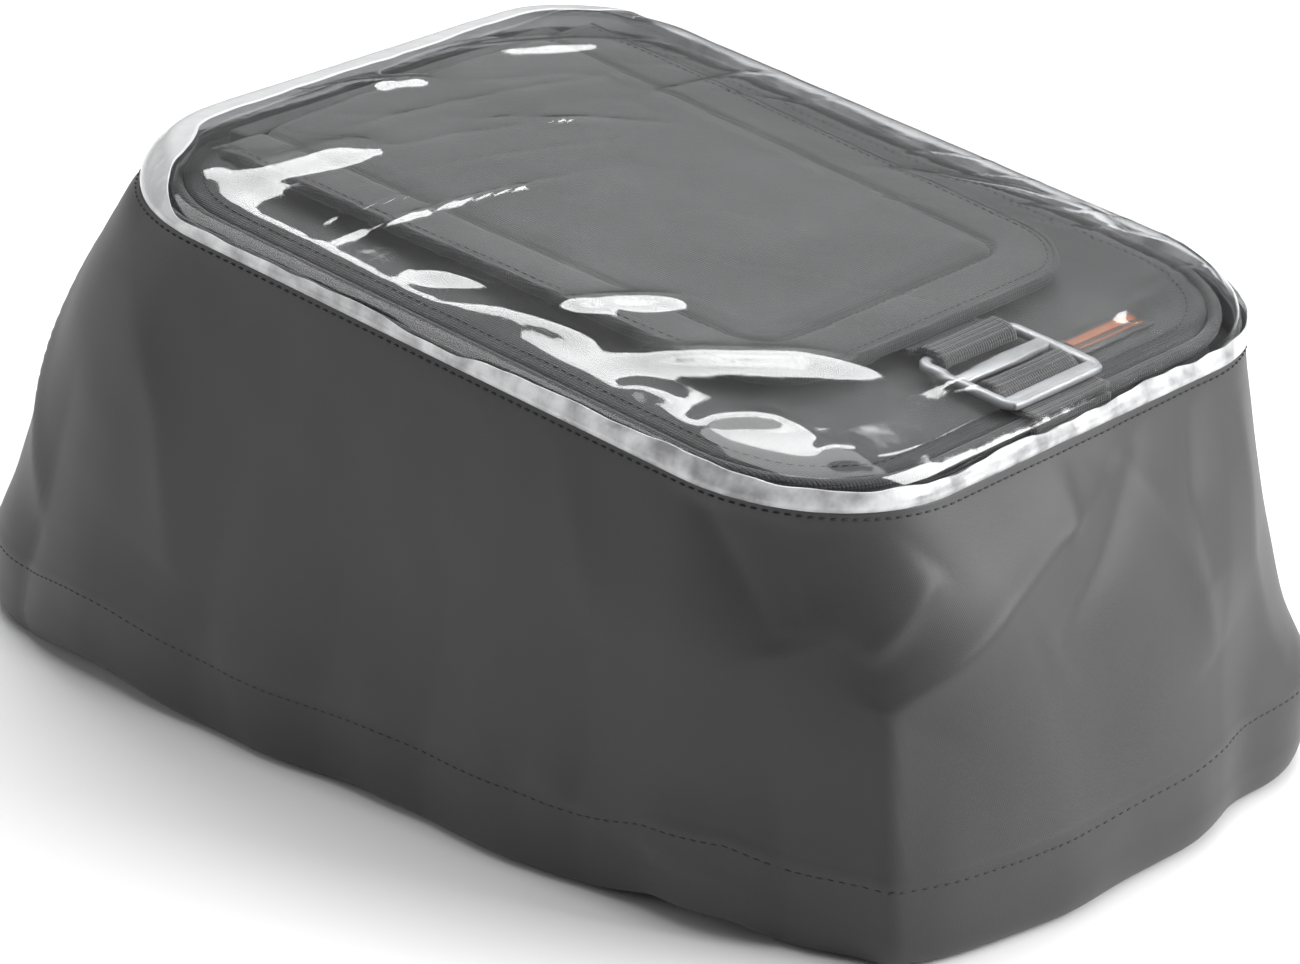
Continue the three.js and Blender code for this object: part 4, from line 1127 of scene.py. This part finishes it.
class TANKBAG_OT_bag_top(Operator):
    """Build the top panel, the zipped lid and the zip"""
    bl_idname = "tankbag.bag_top"
    bl_label = "Bag top and lid"

    def execute(self, context):
        bm = bmesh.new()
        steps = 16
        rows = []
        for k in range(steps + 1):
            t = k / steps
            row = []
            for i in range(AROUND):
                a = outline_point(BAG_TOP, i / AROUND)
                b = outline_point(MOUTH, i / AROUND)
                x, y = lerp(a[0], b[0], t), lerp(a[1], b[1], t)
                lift = top_height(x, y) * (1 - ease(t, 0.8, 1)) - 0.25
                row.append((x, y, bag_z(y, lift)))
            rows.append(row)
        loft(bm, rows)
        top = new_piece("bag_top_panel", bm, "body", "bag", ("top_panel",))
        give_box_uv(top)
        add_wall(top, 2.2)

        bm = bmesh.new()
        bmesh.ops.create_grid(bm, x_segments=56, y_segments=90, size=1)
        inset = 4.6
        for vert in bm.verts:
            vert.co = grid_to_outline(vert.co.x, vert.co.y, MOUTH, inset)
            d = inset_of(MOUTH, vert.co.x, vert.co.y) - inset
            lift = 1.2 * ease(d, 0, 30) * 0.4 + 0.5 * wave(vert.co.x, vert.co.y, 0, 30, 16) * ease(d, 0, 12)
            groove = 0.5 * math.exp(-((d - 7) / 1.1) ** 2)
            vert.co.z = bag_z(vert.co.y, -0.5 + lift - groove)
        lid = new_piece("bag_lid", bm, "body", "lid", ("zip_lid",))
        give_box_uv(lid)
        add_wall(lid, 2.5)

        tooth_pitch = 2.6
        for name, inset, body, node in (("zip_teeth_body", 1.25, "bag", "zip_body_half"),
                                        ("zip_teeth_lid", 3.35, "lid", "zip_lid_half")):
            bm = bmesh.new()
            shares = [u for u in even_shares(MOUTH, tooth_pitch, inset) if zip_runs(u)]
            # the lid's teeth sit half a tooth along, between the body's
            shift = 0.5 if body == "lid" else 0.0
            for u in shares:
                x, y, nx, ny = outline_point(MOUTH, u + shift * tooth_pitch / outline_length(MOUTH), inset)
                turn = Matrix.Rotation(math.atan2(ny, nx), 3, "Z")
                rounded_block(bm, (1.9, 1.3, 1.2), (x, y, bag_z(y, -0.7)), 0.25, 1, turn)
            run = [u / 240 for u in range(241) if zip_runs(u / 240)]
            run.sort(key=lambda u: (u - 0.25) % 1.0)
            lines = []
            for off, h in ((-0.9, -1.5), (0.9, -1.5), (0.9, -1.2), (-0.9, -1.2)):
                line = []
                for u in run:
                    x, y, _, _ = outline_point(MOUTH, u, inset - off)
                    line.append((x, y, bag_z(y, h)))
                lines.append(line)
            loft(bm, [list(column) for column in zip(*lines)], cap=True)
            give_box_uv(new_piece(name, bm, "trim", body, (node,)))

        pitch = context.scene.tank_bag_settings.stitch / MM
        places = []
        for spec, inset in ((BAG_TOP, 6), (MOUTH, -4), (MOUTH, -6.2)):
            for u in even_shares(spec, pitch, inset):
                x, y, _, _ = outline_point(spec, u, inset)
                x1, y1, _, _ = outline_point(spec, u + 0.002, inset)
                places.append(((x, y, bag_z(y, top_height(x, y) - 0.1)),
                               (x1 - x, y1 - y, (y1 - y) * TOP_SLOPE), (0, 0, 1)))
        bm = bmesh.new()
        stitch_row(bm, places, 2.2, 0.26)
        new_piece("bag_top_stitching", bm, "thread", "bag")

        bm = bmesh.new()
        rounded_block(bm, (64, 3.4, 1.2), (0, 82.2, bag_z(82.2, -0.8)), 0.4, 2)
        give_box_uv(new_piece("lid_hinge_cloth", bm, "trim", "bag", ("lid_hinge_tape",)))
        return {"FINISHED"}


def zip_runs(u):
    """True along the three sides of the mouth that the zip closes."""
    step = (u % 1.0) * AROUND
    return not (SIDE / 2 + 2 < step < SIDE / 2 + 2 * CORNER + END - 2)


def grid_to_outline(a, b, spec, inset):
    """Moves a point of the unit square's grid into an inset rounded rectangle."""
    w, l, r = spec[0] - inset, spec[1] - inset, max(spec[2] - inset, 1)
    square = max(abs(a), abs(b))
    if square < 1e-9:
        return Vector((0, spec[3], 0))
    ex, ey = a / square * w, b / square * l
    qx, qy = abs(ex) - (w - r), abs(ey) - (l - r)
    if qx > 0 and qy > 0:
        size = math.hypot(qx, qy)
        ex = math.copysign(w - r + qx / size * r, ex)
        ey = math.copysign(l - r + qy / size * r, ey)
    mix = square ** 4
    return Vector((lerp(a * w, ex * square, mix), lerp(b * l, ey * square, mix) + spec[3], 0))


# ---------------------------------------------------------------- flap
def flap_half_width(y):
    """Half the flap's width at y: flared towards the hinge, with rounded free corners."""
    flare = FLAP_FLARE * clamp((y - FLAP_FREE) / (FLAP_HINGE - FLAP_FREE))
    d = y - FLAP_FREE
    if d < FLAP_RADIUS:
        squared = max(0.0, FLAP_RADIUS ** 2 - (FLAP_RADIUS - d) ** 2)
        return FLAP_HALF + flare - FLAP_RADIUS + math.sqrt(squared)
    return FLAP_HALF + flare


def flap_inset(x, y):
    """How far inside the flap's free edges a point is."""
    d = y - FLAP_FREE
    side = FLAP_HALF + FLAP_FLARE * clamp(d / (FLAP_HINGE - FLAP_FREE)) - abs(x)
    if d < FLAP_RADIUS and side < FLAP_RADIUS:
        return FLAP_RADIUS - math.hypot(FLAP_RADIUS - d, FLAP_RADIUS - side)
    return min(side, d)


def flap_grid(bm, cols, rows, inset):
    """A grid in the flap's outline, closer together in the rounded corners."""
    bmesh.ops.create_grid(bm, x_segments=cols, y_segments=rows, size=1)
    for vert in bm.verts:
        a, b = vert.co.x, (vert.co.y + 1) / 2
        b = 1 - math.cos(b * math.pi / 2) if b < 1 else 1.0
        y = lerp(FLAP_FREE + inset, FLAP_HINGE - 0.3, b)
        base = max(flap_half_width(y - inset * 0.4) - inset, 1)
        vert.co = (a * base, y, 0)


def flap_height(x, y, sag):
    """Top of the flap above the bag's plane: a flat border, a sewn groove and a swelled middle."""
    d = flap_inset(x, y)
    border = 0.5 * math.sin(math.pi * clamp(d / 20)) + 0.35 * wave(x, y, 0, 22, 20)
    groove = -1.3 * math.exp(-((d - 21) / 1.2) ** 2)
    middle = (ease(d, 21.5, 30) * (0.9 + sag / MM * ease(d, 24, 70))
              + 0.4 * ease(d, 22, 34) * wave(x, y, 0, 36, 21))
    return FLAP_HIGH + border + groove + middle - 0.3


class TANKBAG_OT_flap(Operator):
    """Build the padded flap, its lining, binding, stitching and hinge strip"""
    bl_idname = "tankbag.flap"
    bl_label = "Flap"

    def execute(self, context):
        sag = context.scene.tank_bag_settings.sag
        bm = bmesh.new()
        flap_grid(bm, 120, 150, 1.2)
        for vert in bm.verts:
            vert.co.z = bag_z(vert.co.y, flap_height(vert.co.x, vert.co.y, sag))
        skin = new_piece("flap_padded_skin", bm, "flap", "flap",
                         ("flap_outer", "flap_map_panel"))
        give_box_uv(skin)
        add_wall(skin, 2.2)

        bm = bmesh.new()
        flap_grid(bm, 60, 80, 1.2)
        for vert in bm.verts:
            d = flap_inset(vert.co.x, vert.co.y)
            tuft = 0.4 * math.exp(-((d - 21) / 1.4) ** 2)
            ripple = 0.3 * abs(wave(vert.co.x, vert.co.y, 0, 30, 22))
            vert.co.z = bag_z(vert.co.y, FLAP_LOW + 1.35 + min(tuft, 0.4) - ripple)
        lining = new_piece("flap_under_lining", bm, "body", "flap", ("flap_lining",))
        give_box_uv(lining)
        add_wall(lining, 0.9)

        bm = bmesh.new()
        edge = flap_edge_points(0.9, 2.0)
        rows = []
        for i, p in enumerate(edge):
            a, b = edge[max(i - 1, 0)], edge[min(i + 1, len(edge) - 1)]
            along = (b - a).normalized()
            out = Vector((along.y, -along.x, 0))
            if out.dot(Vector((p.x, p.y + 10, 0))) < 0:
                out = -out
            mid = (FLAP_LOW + FLAP_HIGH) / 2
            section = []
            for k in range(12):
                angle = 2 * math.pi * k / 12
                c, s = math.cos(angle), math.sin(angle)
                reach = 1.5 if c > 0 else 2.4
                lump = 1 + 0.05 * wave(p.x, p.y, k, 7, 23)
                section.append(Vector((p.x, p.y, 0)) + out * c * reach * lump * 0.75
                               + Vector((0, 0, bag_z(p.y, mid + s * 2.25 * lump))))
            rows.append(section)
        loft(bm, rows, cap=True)
        binding = new_piece("flap_bound_edge", bm, "trim", "flap", ("flap_binding",))
        give_box_uv(binding)

        bm = bmesh.new()
        places = []
        pitch = context.scene.tank_bag_settings.stitch / MM
        for inset in (3.6, 21.0):
            line = flap_edge_points(inset, pitch)
            if inset > 10:
                far = FLAP_HINGE - 22
                line = [p for p in line if p.y < far]
                half = line[0].x
                count = int(2 * half / pitch)
                line += [Vector((lerp(line[-1].x, half, k / count), far, 0)) for k in range(1, count)]
            for a, b in zip(line, line[1:]):
                h = flap_height(a.x, a.y, sag) + 0.15
                places.append(((a.x, a.y, bag_z(a.y, h)), (b.x - a.x, b.y - a.y, (b.y - a.y) * TOP_SLOPE),
                               (0, 0, 1)))
        stitch_row(bm, places, 2.3, 0.26)
        new_piece("flap_stitching", bm, "thread", "flap")

        bm = bmesh.new()
        rounded_block(bm, (148, 9.6, 6.6), (0, FLAP_HINGE + 5.3, bag_z(FLAP_HINGE + 5.3, 4.0)), 1.5, 3)
        strip = new_piece("flap_hinge_roll", bm, "body", "bag", ("flap_hinge_strip",))
        give_box_uv(strip)
        return {"FINISHED"}


def flap_edge_points(inset, step):
    """Points along the flap's free edge, from the hinge's left end round to its right end."""
    r = max(FLAP_RADIUS - inset, 3)
    half = [Vector((-(FLAP_HALF + FLAP_FLARE) + inset, FLAP_HINGE - 0.5, 0))]
    middle_x, middle_y = -FLAP_HALF + inset - 1.0 + r, FLAP_FREE + inset + r
    for k in range(13):
        angle = math.radians(180 + 90 * k / 12)
        half.append(Vector((middle_x + r * math.cos(angle), middle_y + r * math.sin(angle), 0)))
    whole = half + [Vector((-p.x, p.y, 0)) for p in reversed(half)]
    total, lengths = 0.0, [0.0]
    for a, b in zip(whole, whole[1:]):
        total += (b - a).length
        lengths.append(total)
    count = max(2, int(total / step))
    out, k = [], 0
    for i in range(count + 1):
        target = total * i / count
        while k < len(lengths) - 2 and lengths[k + 1] < target:
            k += 1
        span = lengths[k + 1] - lengths[k]
        out.append(whole[k].lerp(whole[k + 1], (target - lengths[k]) / span if span else 0))
    return out


# ---------------------------------------------------------------- straps and buckle
def on_bag(points):
    """Points on the bag's middle line, from y and the height above its top."""
    return [(0, y, bag_z(y, h)) for y, h in points]


class TANKBAG_OT_straps(Operator):
    """Build the webbing straps and the metal hook buckle"""
    bl_idname = "tankbag.straps"
    bl_label = "Straps and buckle"

    def execute(self, context):
        half = WEB_THICK / 2
        low = GAP + WEB_THICK + GAP
        high = low + 2.6
        hook_y = BUCKLE_BACK - 2.5
        length = BUCKLE_BACK - BUCKLE_FRONT
        inner_y, middle_y = BUCKLE_BACK - 0.42 * length, BUCKLE_BACK - 0.66 * length
        outer_y = BUCKLE_FRONT + 2.5
        under, over = low - GAP - half, low + 0.8 + GAP + half

        bm = bmesh.new()
        threaded = ((HINGE_Y, under), (BUCKLE_FRONT - 1, under), (outer_y + 3.1, under),
                    (middle_y - 2.4, over), (middle_y + 2.4, over), (inner_y - 3.1, under),
                    (inner_y + 3, under))
        ribbon(bm, on_bag(threaded), WEB_WIDTH, WEB_THICK)
        give_box_uv(new_piece("rider_strap_threaded", bm, "webbing", "buckle",
                              ("rider_strap_upper",)))

        bm = bmesh.new()
        lower = []
        for t in (0.45, 0.6, 0.75, 0.88):
            p = wall_point(RIDER_MIDDLE, t)
            lower.append((0, p.y - half - 0.4, p.z))
        lower.append((0, HINGE_Y, bag_z(HINGE_Y, -7)))
        lower.append((0, HINGE_Y, bag_z(HINGE_Y, -1)))
        ribbon(bm, lower, WEB_WIDTH, WEB_THICK)
        give_box_uv(new_piece("rider_strap_sewn", bm, "webbing", "bag", ("rider_strap_lower",)))

        bm = bmesh.new()
        a, b = wall_point(RIDER_MIDDLE, 0.34), wall_point(RIDER_MIDDLE, 0.44)
        ribbon(bm, [(0, a.y - 1.3, a.z), (0, b.y - 1.3, b.z)], 46, 1.6)
        give_box_uv(new_piece("strap_patch", bm, "trim", "bag", ("strap_anchor_patch",)))
        bm = bmesh.new()
        places = []
        for z_share in (0.355, 0.425):
            p = wall_point(RIDER_MIDDLE, z_share)
            places += [((x, p.y - 2.2, p.z), (1, 0, 0), (0, -1, 0.2)) for x in range(-20, 21, 3)]
        stitch_row(bm, places, 2.2, 0.28)
        new_piece("strap_patch_stitching", bm, "thread", "bag")

        bm = bmesh.new()
        flap_under, hook_over = FLAP_LOW - GAP - half, high + GAP + half
        hooked = ((FLAP_FREE + 24, flap_under), (FLAP_FREE + 6, flap_under),
                  (FLAP_FREE - 1.5, flap_under + 0.1), (FLAP_FREE - 5.4, hook_over - 0.3),
                  (hook_y + 1.5, hook_over), (hook_y - 2.2, hook_over - 0.1),
                  (hook_y - 4.2, hook_over - 1.6), (hook_y - 4.6, low + 0.4))
        ribbon(bm, on_bag(hooked), WEB_WIDTH - 2, WEB_THICK)
        give_box_uv(new_piece("flap_strap_hooked", bm, "webbing", "flap", ("flap_strap",)))

        bm = bmesh.new()
        rail, frame_half = 3.6, WEB_WIDTH / 2 + 1 + 3.6
        mid = (low + high) / 2
        loop = (frame_half - rail / 2, (length - rail) / 2, 3.4, (BUCKLE_FRONT + BUCKLE_BACK) / 2)
        section = [(-1.75, -0.95), (-1.45, -1.25), (1.45, -1.25), (1.75, -0.95), (1.75, 0.65), (1.1, 1.25),
                   (-1.1, 1.25), (-1.75, 0.65)]

        def place(u, p):
            x, y, nx, ny = outline_point(loop, u)
            return (x + nx * p[0], y + ny * p[0], bag_z(y, mid + p[1]))

        ring_loft(bm, section, place)
        for y, depth, thick, h in ((inner_y, 5, 2.4, mid), (outer_y + 0.2, 5, 2.4, mid),
                                   (middle_y, 3, 0.9, low + 0.45)):
            turn = Matrix.Rotation(math.atan(TOP_SLOPE), 3, "X")
            rounded_block(bm, (2 * frame_half - 4, depth, thick), (0, y, bag_z(y, h)),
                          0.35 if thick < 1 else 0.7, 2, turn)
        new_piece("metal_hook_buckle", bm, "buckle", "buckle", ("hook_buckle",))
        return {"FINISHED"}


def node_box(name):
    """A CAD node's box in millimetres."""
    low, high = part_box(name)
    return Vector(low) / MM, Vector(high) / MM


class TANKBAG_OT_base(Operator):
    """Build the foam base pad, its fabric, the lock's springs and its pull loop"""
    bl_idname = "tankbag.base"
    bl_label = "Base"

    def execute(self, context):
        well, channel_half, channel_end = 84, 14.5, 113.5

        def well_radius(x, y):
            size = math.hypot(x, y)
            if y < 0 and abs(x) / size * well < channel_half:
                return max(well, min(channel_end * size / -y, channel_end + 6))
            return well

        bm = bmesh.new()
        # share from the well (0) to the outer edge (1), and height
        section = ((0.0, 1.0), (0.008, 0.25), (0.03, 0.0), (0.25, 0.0), (0.5, 0.0), (0.75, 0.0),
                   (0.95, 0.0), (0.985, 0.35), (1.0, 1.2), (1.0, 8.8), (0.985, 9.7), (0.95, 9.95),
                   (0.5, 9.95), (0.03, 9.95), (0.008, 9.6), (0.0, 8.9))

        def place(u, p):
            x, y, nx, ny = outline_point(BAG_FOOT, u)
            reach = well_radius(x, y) / math.hypot(x, y)
            share = lerp(reach, 1.0, p[0])
            pinch = 0.35 * bump(p[1], 5, 3) * (1 if p[0] == 1.0 else 0)
            return (x * share - nx * pinch, y * share - ny * pinch, p[1])

        ring_loft(bm, section, place)
        pad = new_piece("base_foam_pad", bm, "foam", "bag", ("base_pad",))

        bm = bmesh.new()
        bmesh.ops.create_grid(bm, x_segments=60, y_segments=90, size=1)
        for vert in bm.verts:
            vert.co = grid_to_outline(vert.co.x, vert.co.y, BAG_FOOT, 0.3)
            vert.co.z = 12.2
        ring_hole = 54
        inside = [face for face in bm.faces if face.calc_center_median().xy.length < ring_hole]
        bmesh.ops.delete(bm, geom=inside, context="FACES")
        cloth = new_piece("base_cloth", bm, "hidden", "bag", ("base_panel",))
        if cloth.data.polygons[0].normal.z < 0:
            cloth.data.flip_normals()
        add_wall(cloth, 1.8)

        low, high = node_box("lock_pull_tab")
        bm = bmesh.new()
        mid, half = (low.z + high.z) / 2, (high.z - low.z) / 2
        line = [(0, high.y, mid), (0, lerp(high.y, low.y, 0.35), mid + 0.1),
                (0, lerp(high.y, low.y, 0.7), mid - 0.1), (0, low.y + 1, mid)]
        ribbon(bm, line, high.x - low.x - 0.4, min(2 * half, 2.0))
        give_box_uv(new_piece("lock_pull_loop", bm, "webbing", "lock", ("lock_pull_tab",)))

        for node in ("lock_spring_left", "lock_spring_right"):
            low, high = node_box(node)
            centre = (low + high) / 2
            wire = 0.4
            radius = (high.x - low.x) / 2 - wire
            length = high.y - low.y - 2 * wire
            turns, sides, steps = 5, 8, 120
            rows = []
            for i in range(steps + 1):
                t = i / steps
                angle = 2 * math.pi * turns * t
                out = Vector((math.cos(angle), 0, math.sin(angle)))
                middle = Vector((centre.x, low.y + wire + length * t, centre.z)) + out * radius
                rows.append([middle + out * wire * math.cos(a) + Vector((0, 1, 0)) * wire * math.sin(a)
                             for a in (2 * math.pi * k / sides for k in range(sides))])
            bm = bmesh.new()
            loft(bm, rows, cap=True)
            spring = new_piece(node + "_wire", bm, "steel", "bag", (node,))
            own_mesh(spring)
        return {"FINISHED"}


class TANKBAG_OT_small_parts(Operator):
    """Build the zip's slider and pull and the plain badge"""
    bl_idname = "tankbag.small_parts"
    bl_label = "Zip slider and badge"

    def execute(self, context):
        x, y = 59.55, 48.0
        bm = bmesh.new()
        turn = Matrix.Rotation(math.atan(TOP_SLOPE), 3, "X")
        rounded_block(bm, (7.8, 12.6, 1.1), (x, y, bag_z(y, 0.85)), 0.5, 3, turn)
        pin_y = y + 3.5
        for side in (-1, 1):
            rounded_block(bm, (1.3, 4, 3.0), (x + side * 3.25, pin_y, bag_z(pin_y, 2.2)), 0.5, 2, turn)
        new_piece("zip_slider_body", bm, "steel", "slider", ("zip_slider",))
        bm = bmesh.new()
        h = 2.6
        loop = (2.3, 11.0, 2.2, pin_y - 10.6)

        def place(u, p):
            px, py, nx, ny = outline_point(loop, u)
            return (x + px + nx * p[0], py + ny * p[0], bag_z(py, h + p[1]))

        ring_loft(bm, [(-0.7, -0.5), (0.5, -0.5), (0.7, 0), (0.5, 0.5), (-0.7, 0.5)], place)
        rounded_block(bm, (4.4, 9, 1.0), (x, y - 12, bag_z(y - 12, h)), 0.4, 2, turn)
        pin_place = Matrix.Translation((x, pin_y, bag_z(pin_y, h)))
        bmesh.ops.create_cone(bm, cap_ends=True, segments=12, radius1=0.85, radius2=0.85, depth=4.4,
                              matrix=pin_place @ Matrix.Rotation(math.pi / 2, 4, "Y"))
        new_piece("zip_pull_loop", bm, "steel", "pull", ("zip_pull",))

        low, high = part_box("plain_badge")
        bm = bmesh.new()
        cx, cy = (low.x + high.x) / 2 / MM, (low.y + high.y) / 2 / MM
        rounded_block(bm, (39, 10.4, 0.7), (cx, cy, bag_z(cy, 0.75)), 0.3, 2, turn)
        new_piece("badge_plate", bm, "plastic", "bag", ("plain_badge",))
        bm = bmesh.new()
        for along, depth in ((1.4, 3.6), (-2.6, 0.8)):
            rounded_block(bm, (33, depth, 0.6), (cx, cy + along, bag_z(cy + along, 1.25)), 0.25, 2, turn)
        new_piece("badge_bars", bm, "badge", "bag")

        plastic_nodes = ("base_board", "tank_ring", "lock_bolt", "backing_plate")
        steel_nodes = tuple(f"ring_screw_{i}" for i in range(1, 5))
        for nodes, material in ((plastic_nodes, "plastic"), (steel_nodes, "steel")):
            for node in nodes:
                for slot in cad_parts[node].material_slots:
                    slot.material = MATERIALS[material]
        return {"FINISHED"}


# ---------------------------------------------------------------- stage
CAMERA_TURN, CAMERA_TILT, CAMERA_ROLL = math.radians(-49.9), math.radians(22.9), math.radians(1.24)
CAMERA_DISTANCE = 1.61
CAMERA_AIM = Vector((0.0136, 0, 0.0614))
LENS = 138.5


def aim_light(name, kind, place, target, power, size, size_y=None, colour=(1, 1, 1)):
    data = bpy.data.lights.new(name, kind)
    data.energy = power
    data.color = colour
    data.shape = "RECTANGLE"
    data.size = size
    data.size_y = size_y or size
    light = bpy.data.objects.new(name, data)
    light.location = place
    light.rotation_euler = (Vector(target) - Vector(place)).to_track_quat("-Z", "Y").to_euler()
    bpy.context.collection.objects.link(light)


class TANKBAG_OT_stage(Operator):
    """Set the floor, lights and camera"""
    bl_idname = "tankbag.stage"
    bl_label = "Stage"

    def execute(self, context):
        settings = context.scene.tank_bag_stage
        back = Vector((math.sin(CAMERA_TURN) * math.cos(CAMERA_TILT),
                       -math.cos(CAMERA_TURN) * math.cos(CAMERA_TILT),
                       math.sin(CAMERA_TILT)))
        right = Vector((math.cos(CAMERA_TURN), math.sin(CAMERA_TURN), 0))
        up = back.cross(right)
        c, s = math.cos(CAMERA_ROLL), math.sin(CAMERA_ROLL)
        right, up = right * c + up * s, up * c - right * s
        camera = bpy.data.cameras.new("Camera")
        camera.lens = LENS
        camera.sensor_width = 36
        camera.clip_end = 50
        view = bpy.data.objects.new("Camera", camera)
        turn = Matrix((right, up, back)).transposed()
        view.matrix_world = Matrix.Translation(CAMERA_AIM + back * CAMERA_DISTANCE) @ turn.to_4x4()
        context.collection.objects.link(view)
        context.scene.camera = view

        bm = bmesh.new()
        bmesh.ops.create_grid(bm, x_segments=2, y_segments=2, size=14,
                              matrix=Matrix.Translation((0, 0, -0.0003)))
        mesh = bpy.data.meshes.new("floor")
        bm.to_mesh(mesh)
        bm.free()
        floor = bpy.data.objects.new("floor", mesh)
        context.collection.objects.link(floor)
        material, _, shader = start_material("Pale floor", 0.7)
        shader.inputs["Base Color"].default_value = (0.82, 0.82, 0.82, 1)
        mesh.materials.append(material)

        flat_back = Vector((back.x, back.y, 0)).normalized()
        flat_right = Vector((right.x, right.y, 0)).normalized()
        aim_light("Key", "AREA", flat_right * 1.5 + flat_back * 0.3 + Vector((0, 0, 0.8)), (0, 0, 0.08),
                  settings.key_power, 1.0, 0.9)
        aim_light("Back softbox", "AREA", flat_back * -0.98 + Vector((0, 0, 1.82)), (0, 0, 0.15),
                  settings.back_power, 1.8, 0.78)
        aim_light("Overhead", "AREA", (-0.1, -0.4, 2.4), (0, 0, 0), 46, 2.4, 2.4)
        aim_light("Left fill", "AREA", flat_right * -1.7 + flat_back * 0.1 + Vector((0, 0, 0.6)),
                  (0, 0, 0.08),
                  7, 1.2, 0.8)
        world = bpy.data.worlds.new("Studio")
        world.use_nodes = True
        sky = world.node_tree.nodes["Background"]
        sky.inputs["Color"].default_value = (1, 1, 1, 1)
        path = add_node(world.node_tree, "ShaderNodeLightPath", (-600, 0))
        seen = math_node(world.node_tree, "MULTIPLY", path.outputs["Is Camera Ray"], 0.72)
        strength = math_node(world.node_tree, "ADD", seen, settings.ambient)
        world.node_tree.links.new(strength, sky.inputs["Strength"])
        context.scene.world = world
        context.scene.view_settings.view_transform = "Standard"
        return {"FINISHED"}


PIECES = (
    TANKBAG_OT_stage,
    TANKBAG_OT_cover_skirt,
    TANKBAG_OT_cover_hem,
    TANKBAG_OT_cover_window,
    TANKBAG_OT_bag_walls,
    TANKBAG_OT_bag_top,
    TANKBAG_OT_flap,
    TANKBAG_OT_straps,
    TANKBAG_OT_base,
    TANKBAG_OT_small_parts,
)


class TANKBAG_PT_panel(Panel):
    bl_label = "Tank Bag"
    bl_idname = "TANKBAG_PT_panel"
    bl_space_type = "VIEW_3D"
    bl_region_type = "UI"
    bl_category = "Tank Bag"

    def draw(self, context):
        layout = self.layout
        for group in (context.scene.rain_cover_settings, context.scene.tank_bag_settings,
                      context.scene.tank_bag_stage):
            box = layout.box()
            for key in group.__annotations__:
                box.prop(group, key)
        for piece in PIECES:
            layout.operator(piece.bl_idname)


CLASSES = (CoverSettings, BagSettings, StageSettings, *PIECES, TANKBAG_PT_panel)


def register():
    for cls in CLASSES:
        bpy.utils.register_class(cls)
    bpy.types.Scene.rain_cover_settings = PointerProperty(type=CoverSettings)
    bpy.types.Scene.tank_bag_settings = PointerProperty(type=BagSettings)
    bpy.types.Scene.tank_bag_stage = PointerProperty(type=StageSettings)


def unregister():
    del bpy.types.Scene.tank_bag_stage
    del bpy.types.Scene.tank_bag_settings
    del bpy.types.Scene.rain_cover_settings
    for cls in reversed(CLASSES):
        bpy.utils.unregister_class(cls)


def main():
    register()
    make_materials()
    for piece in PIECES:
        getattr(bpy.ops.tankbag, piece.bl_idname.partition(".")[2])()


if __name__ == "__main__":
    main()
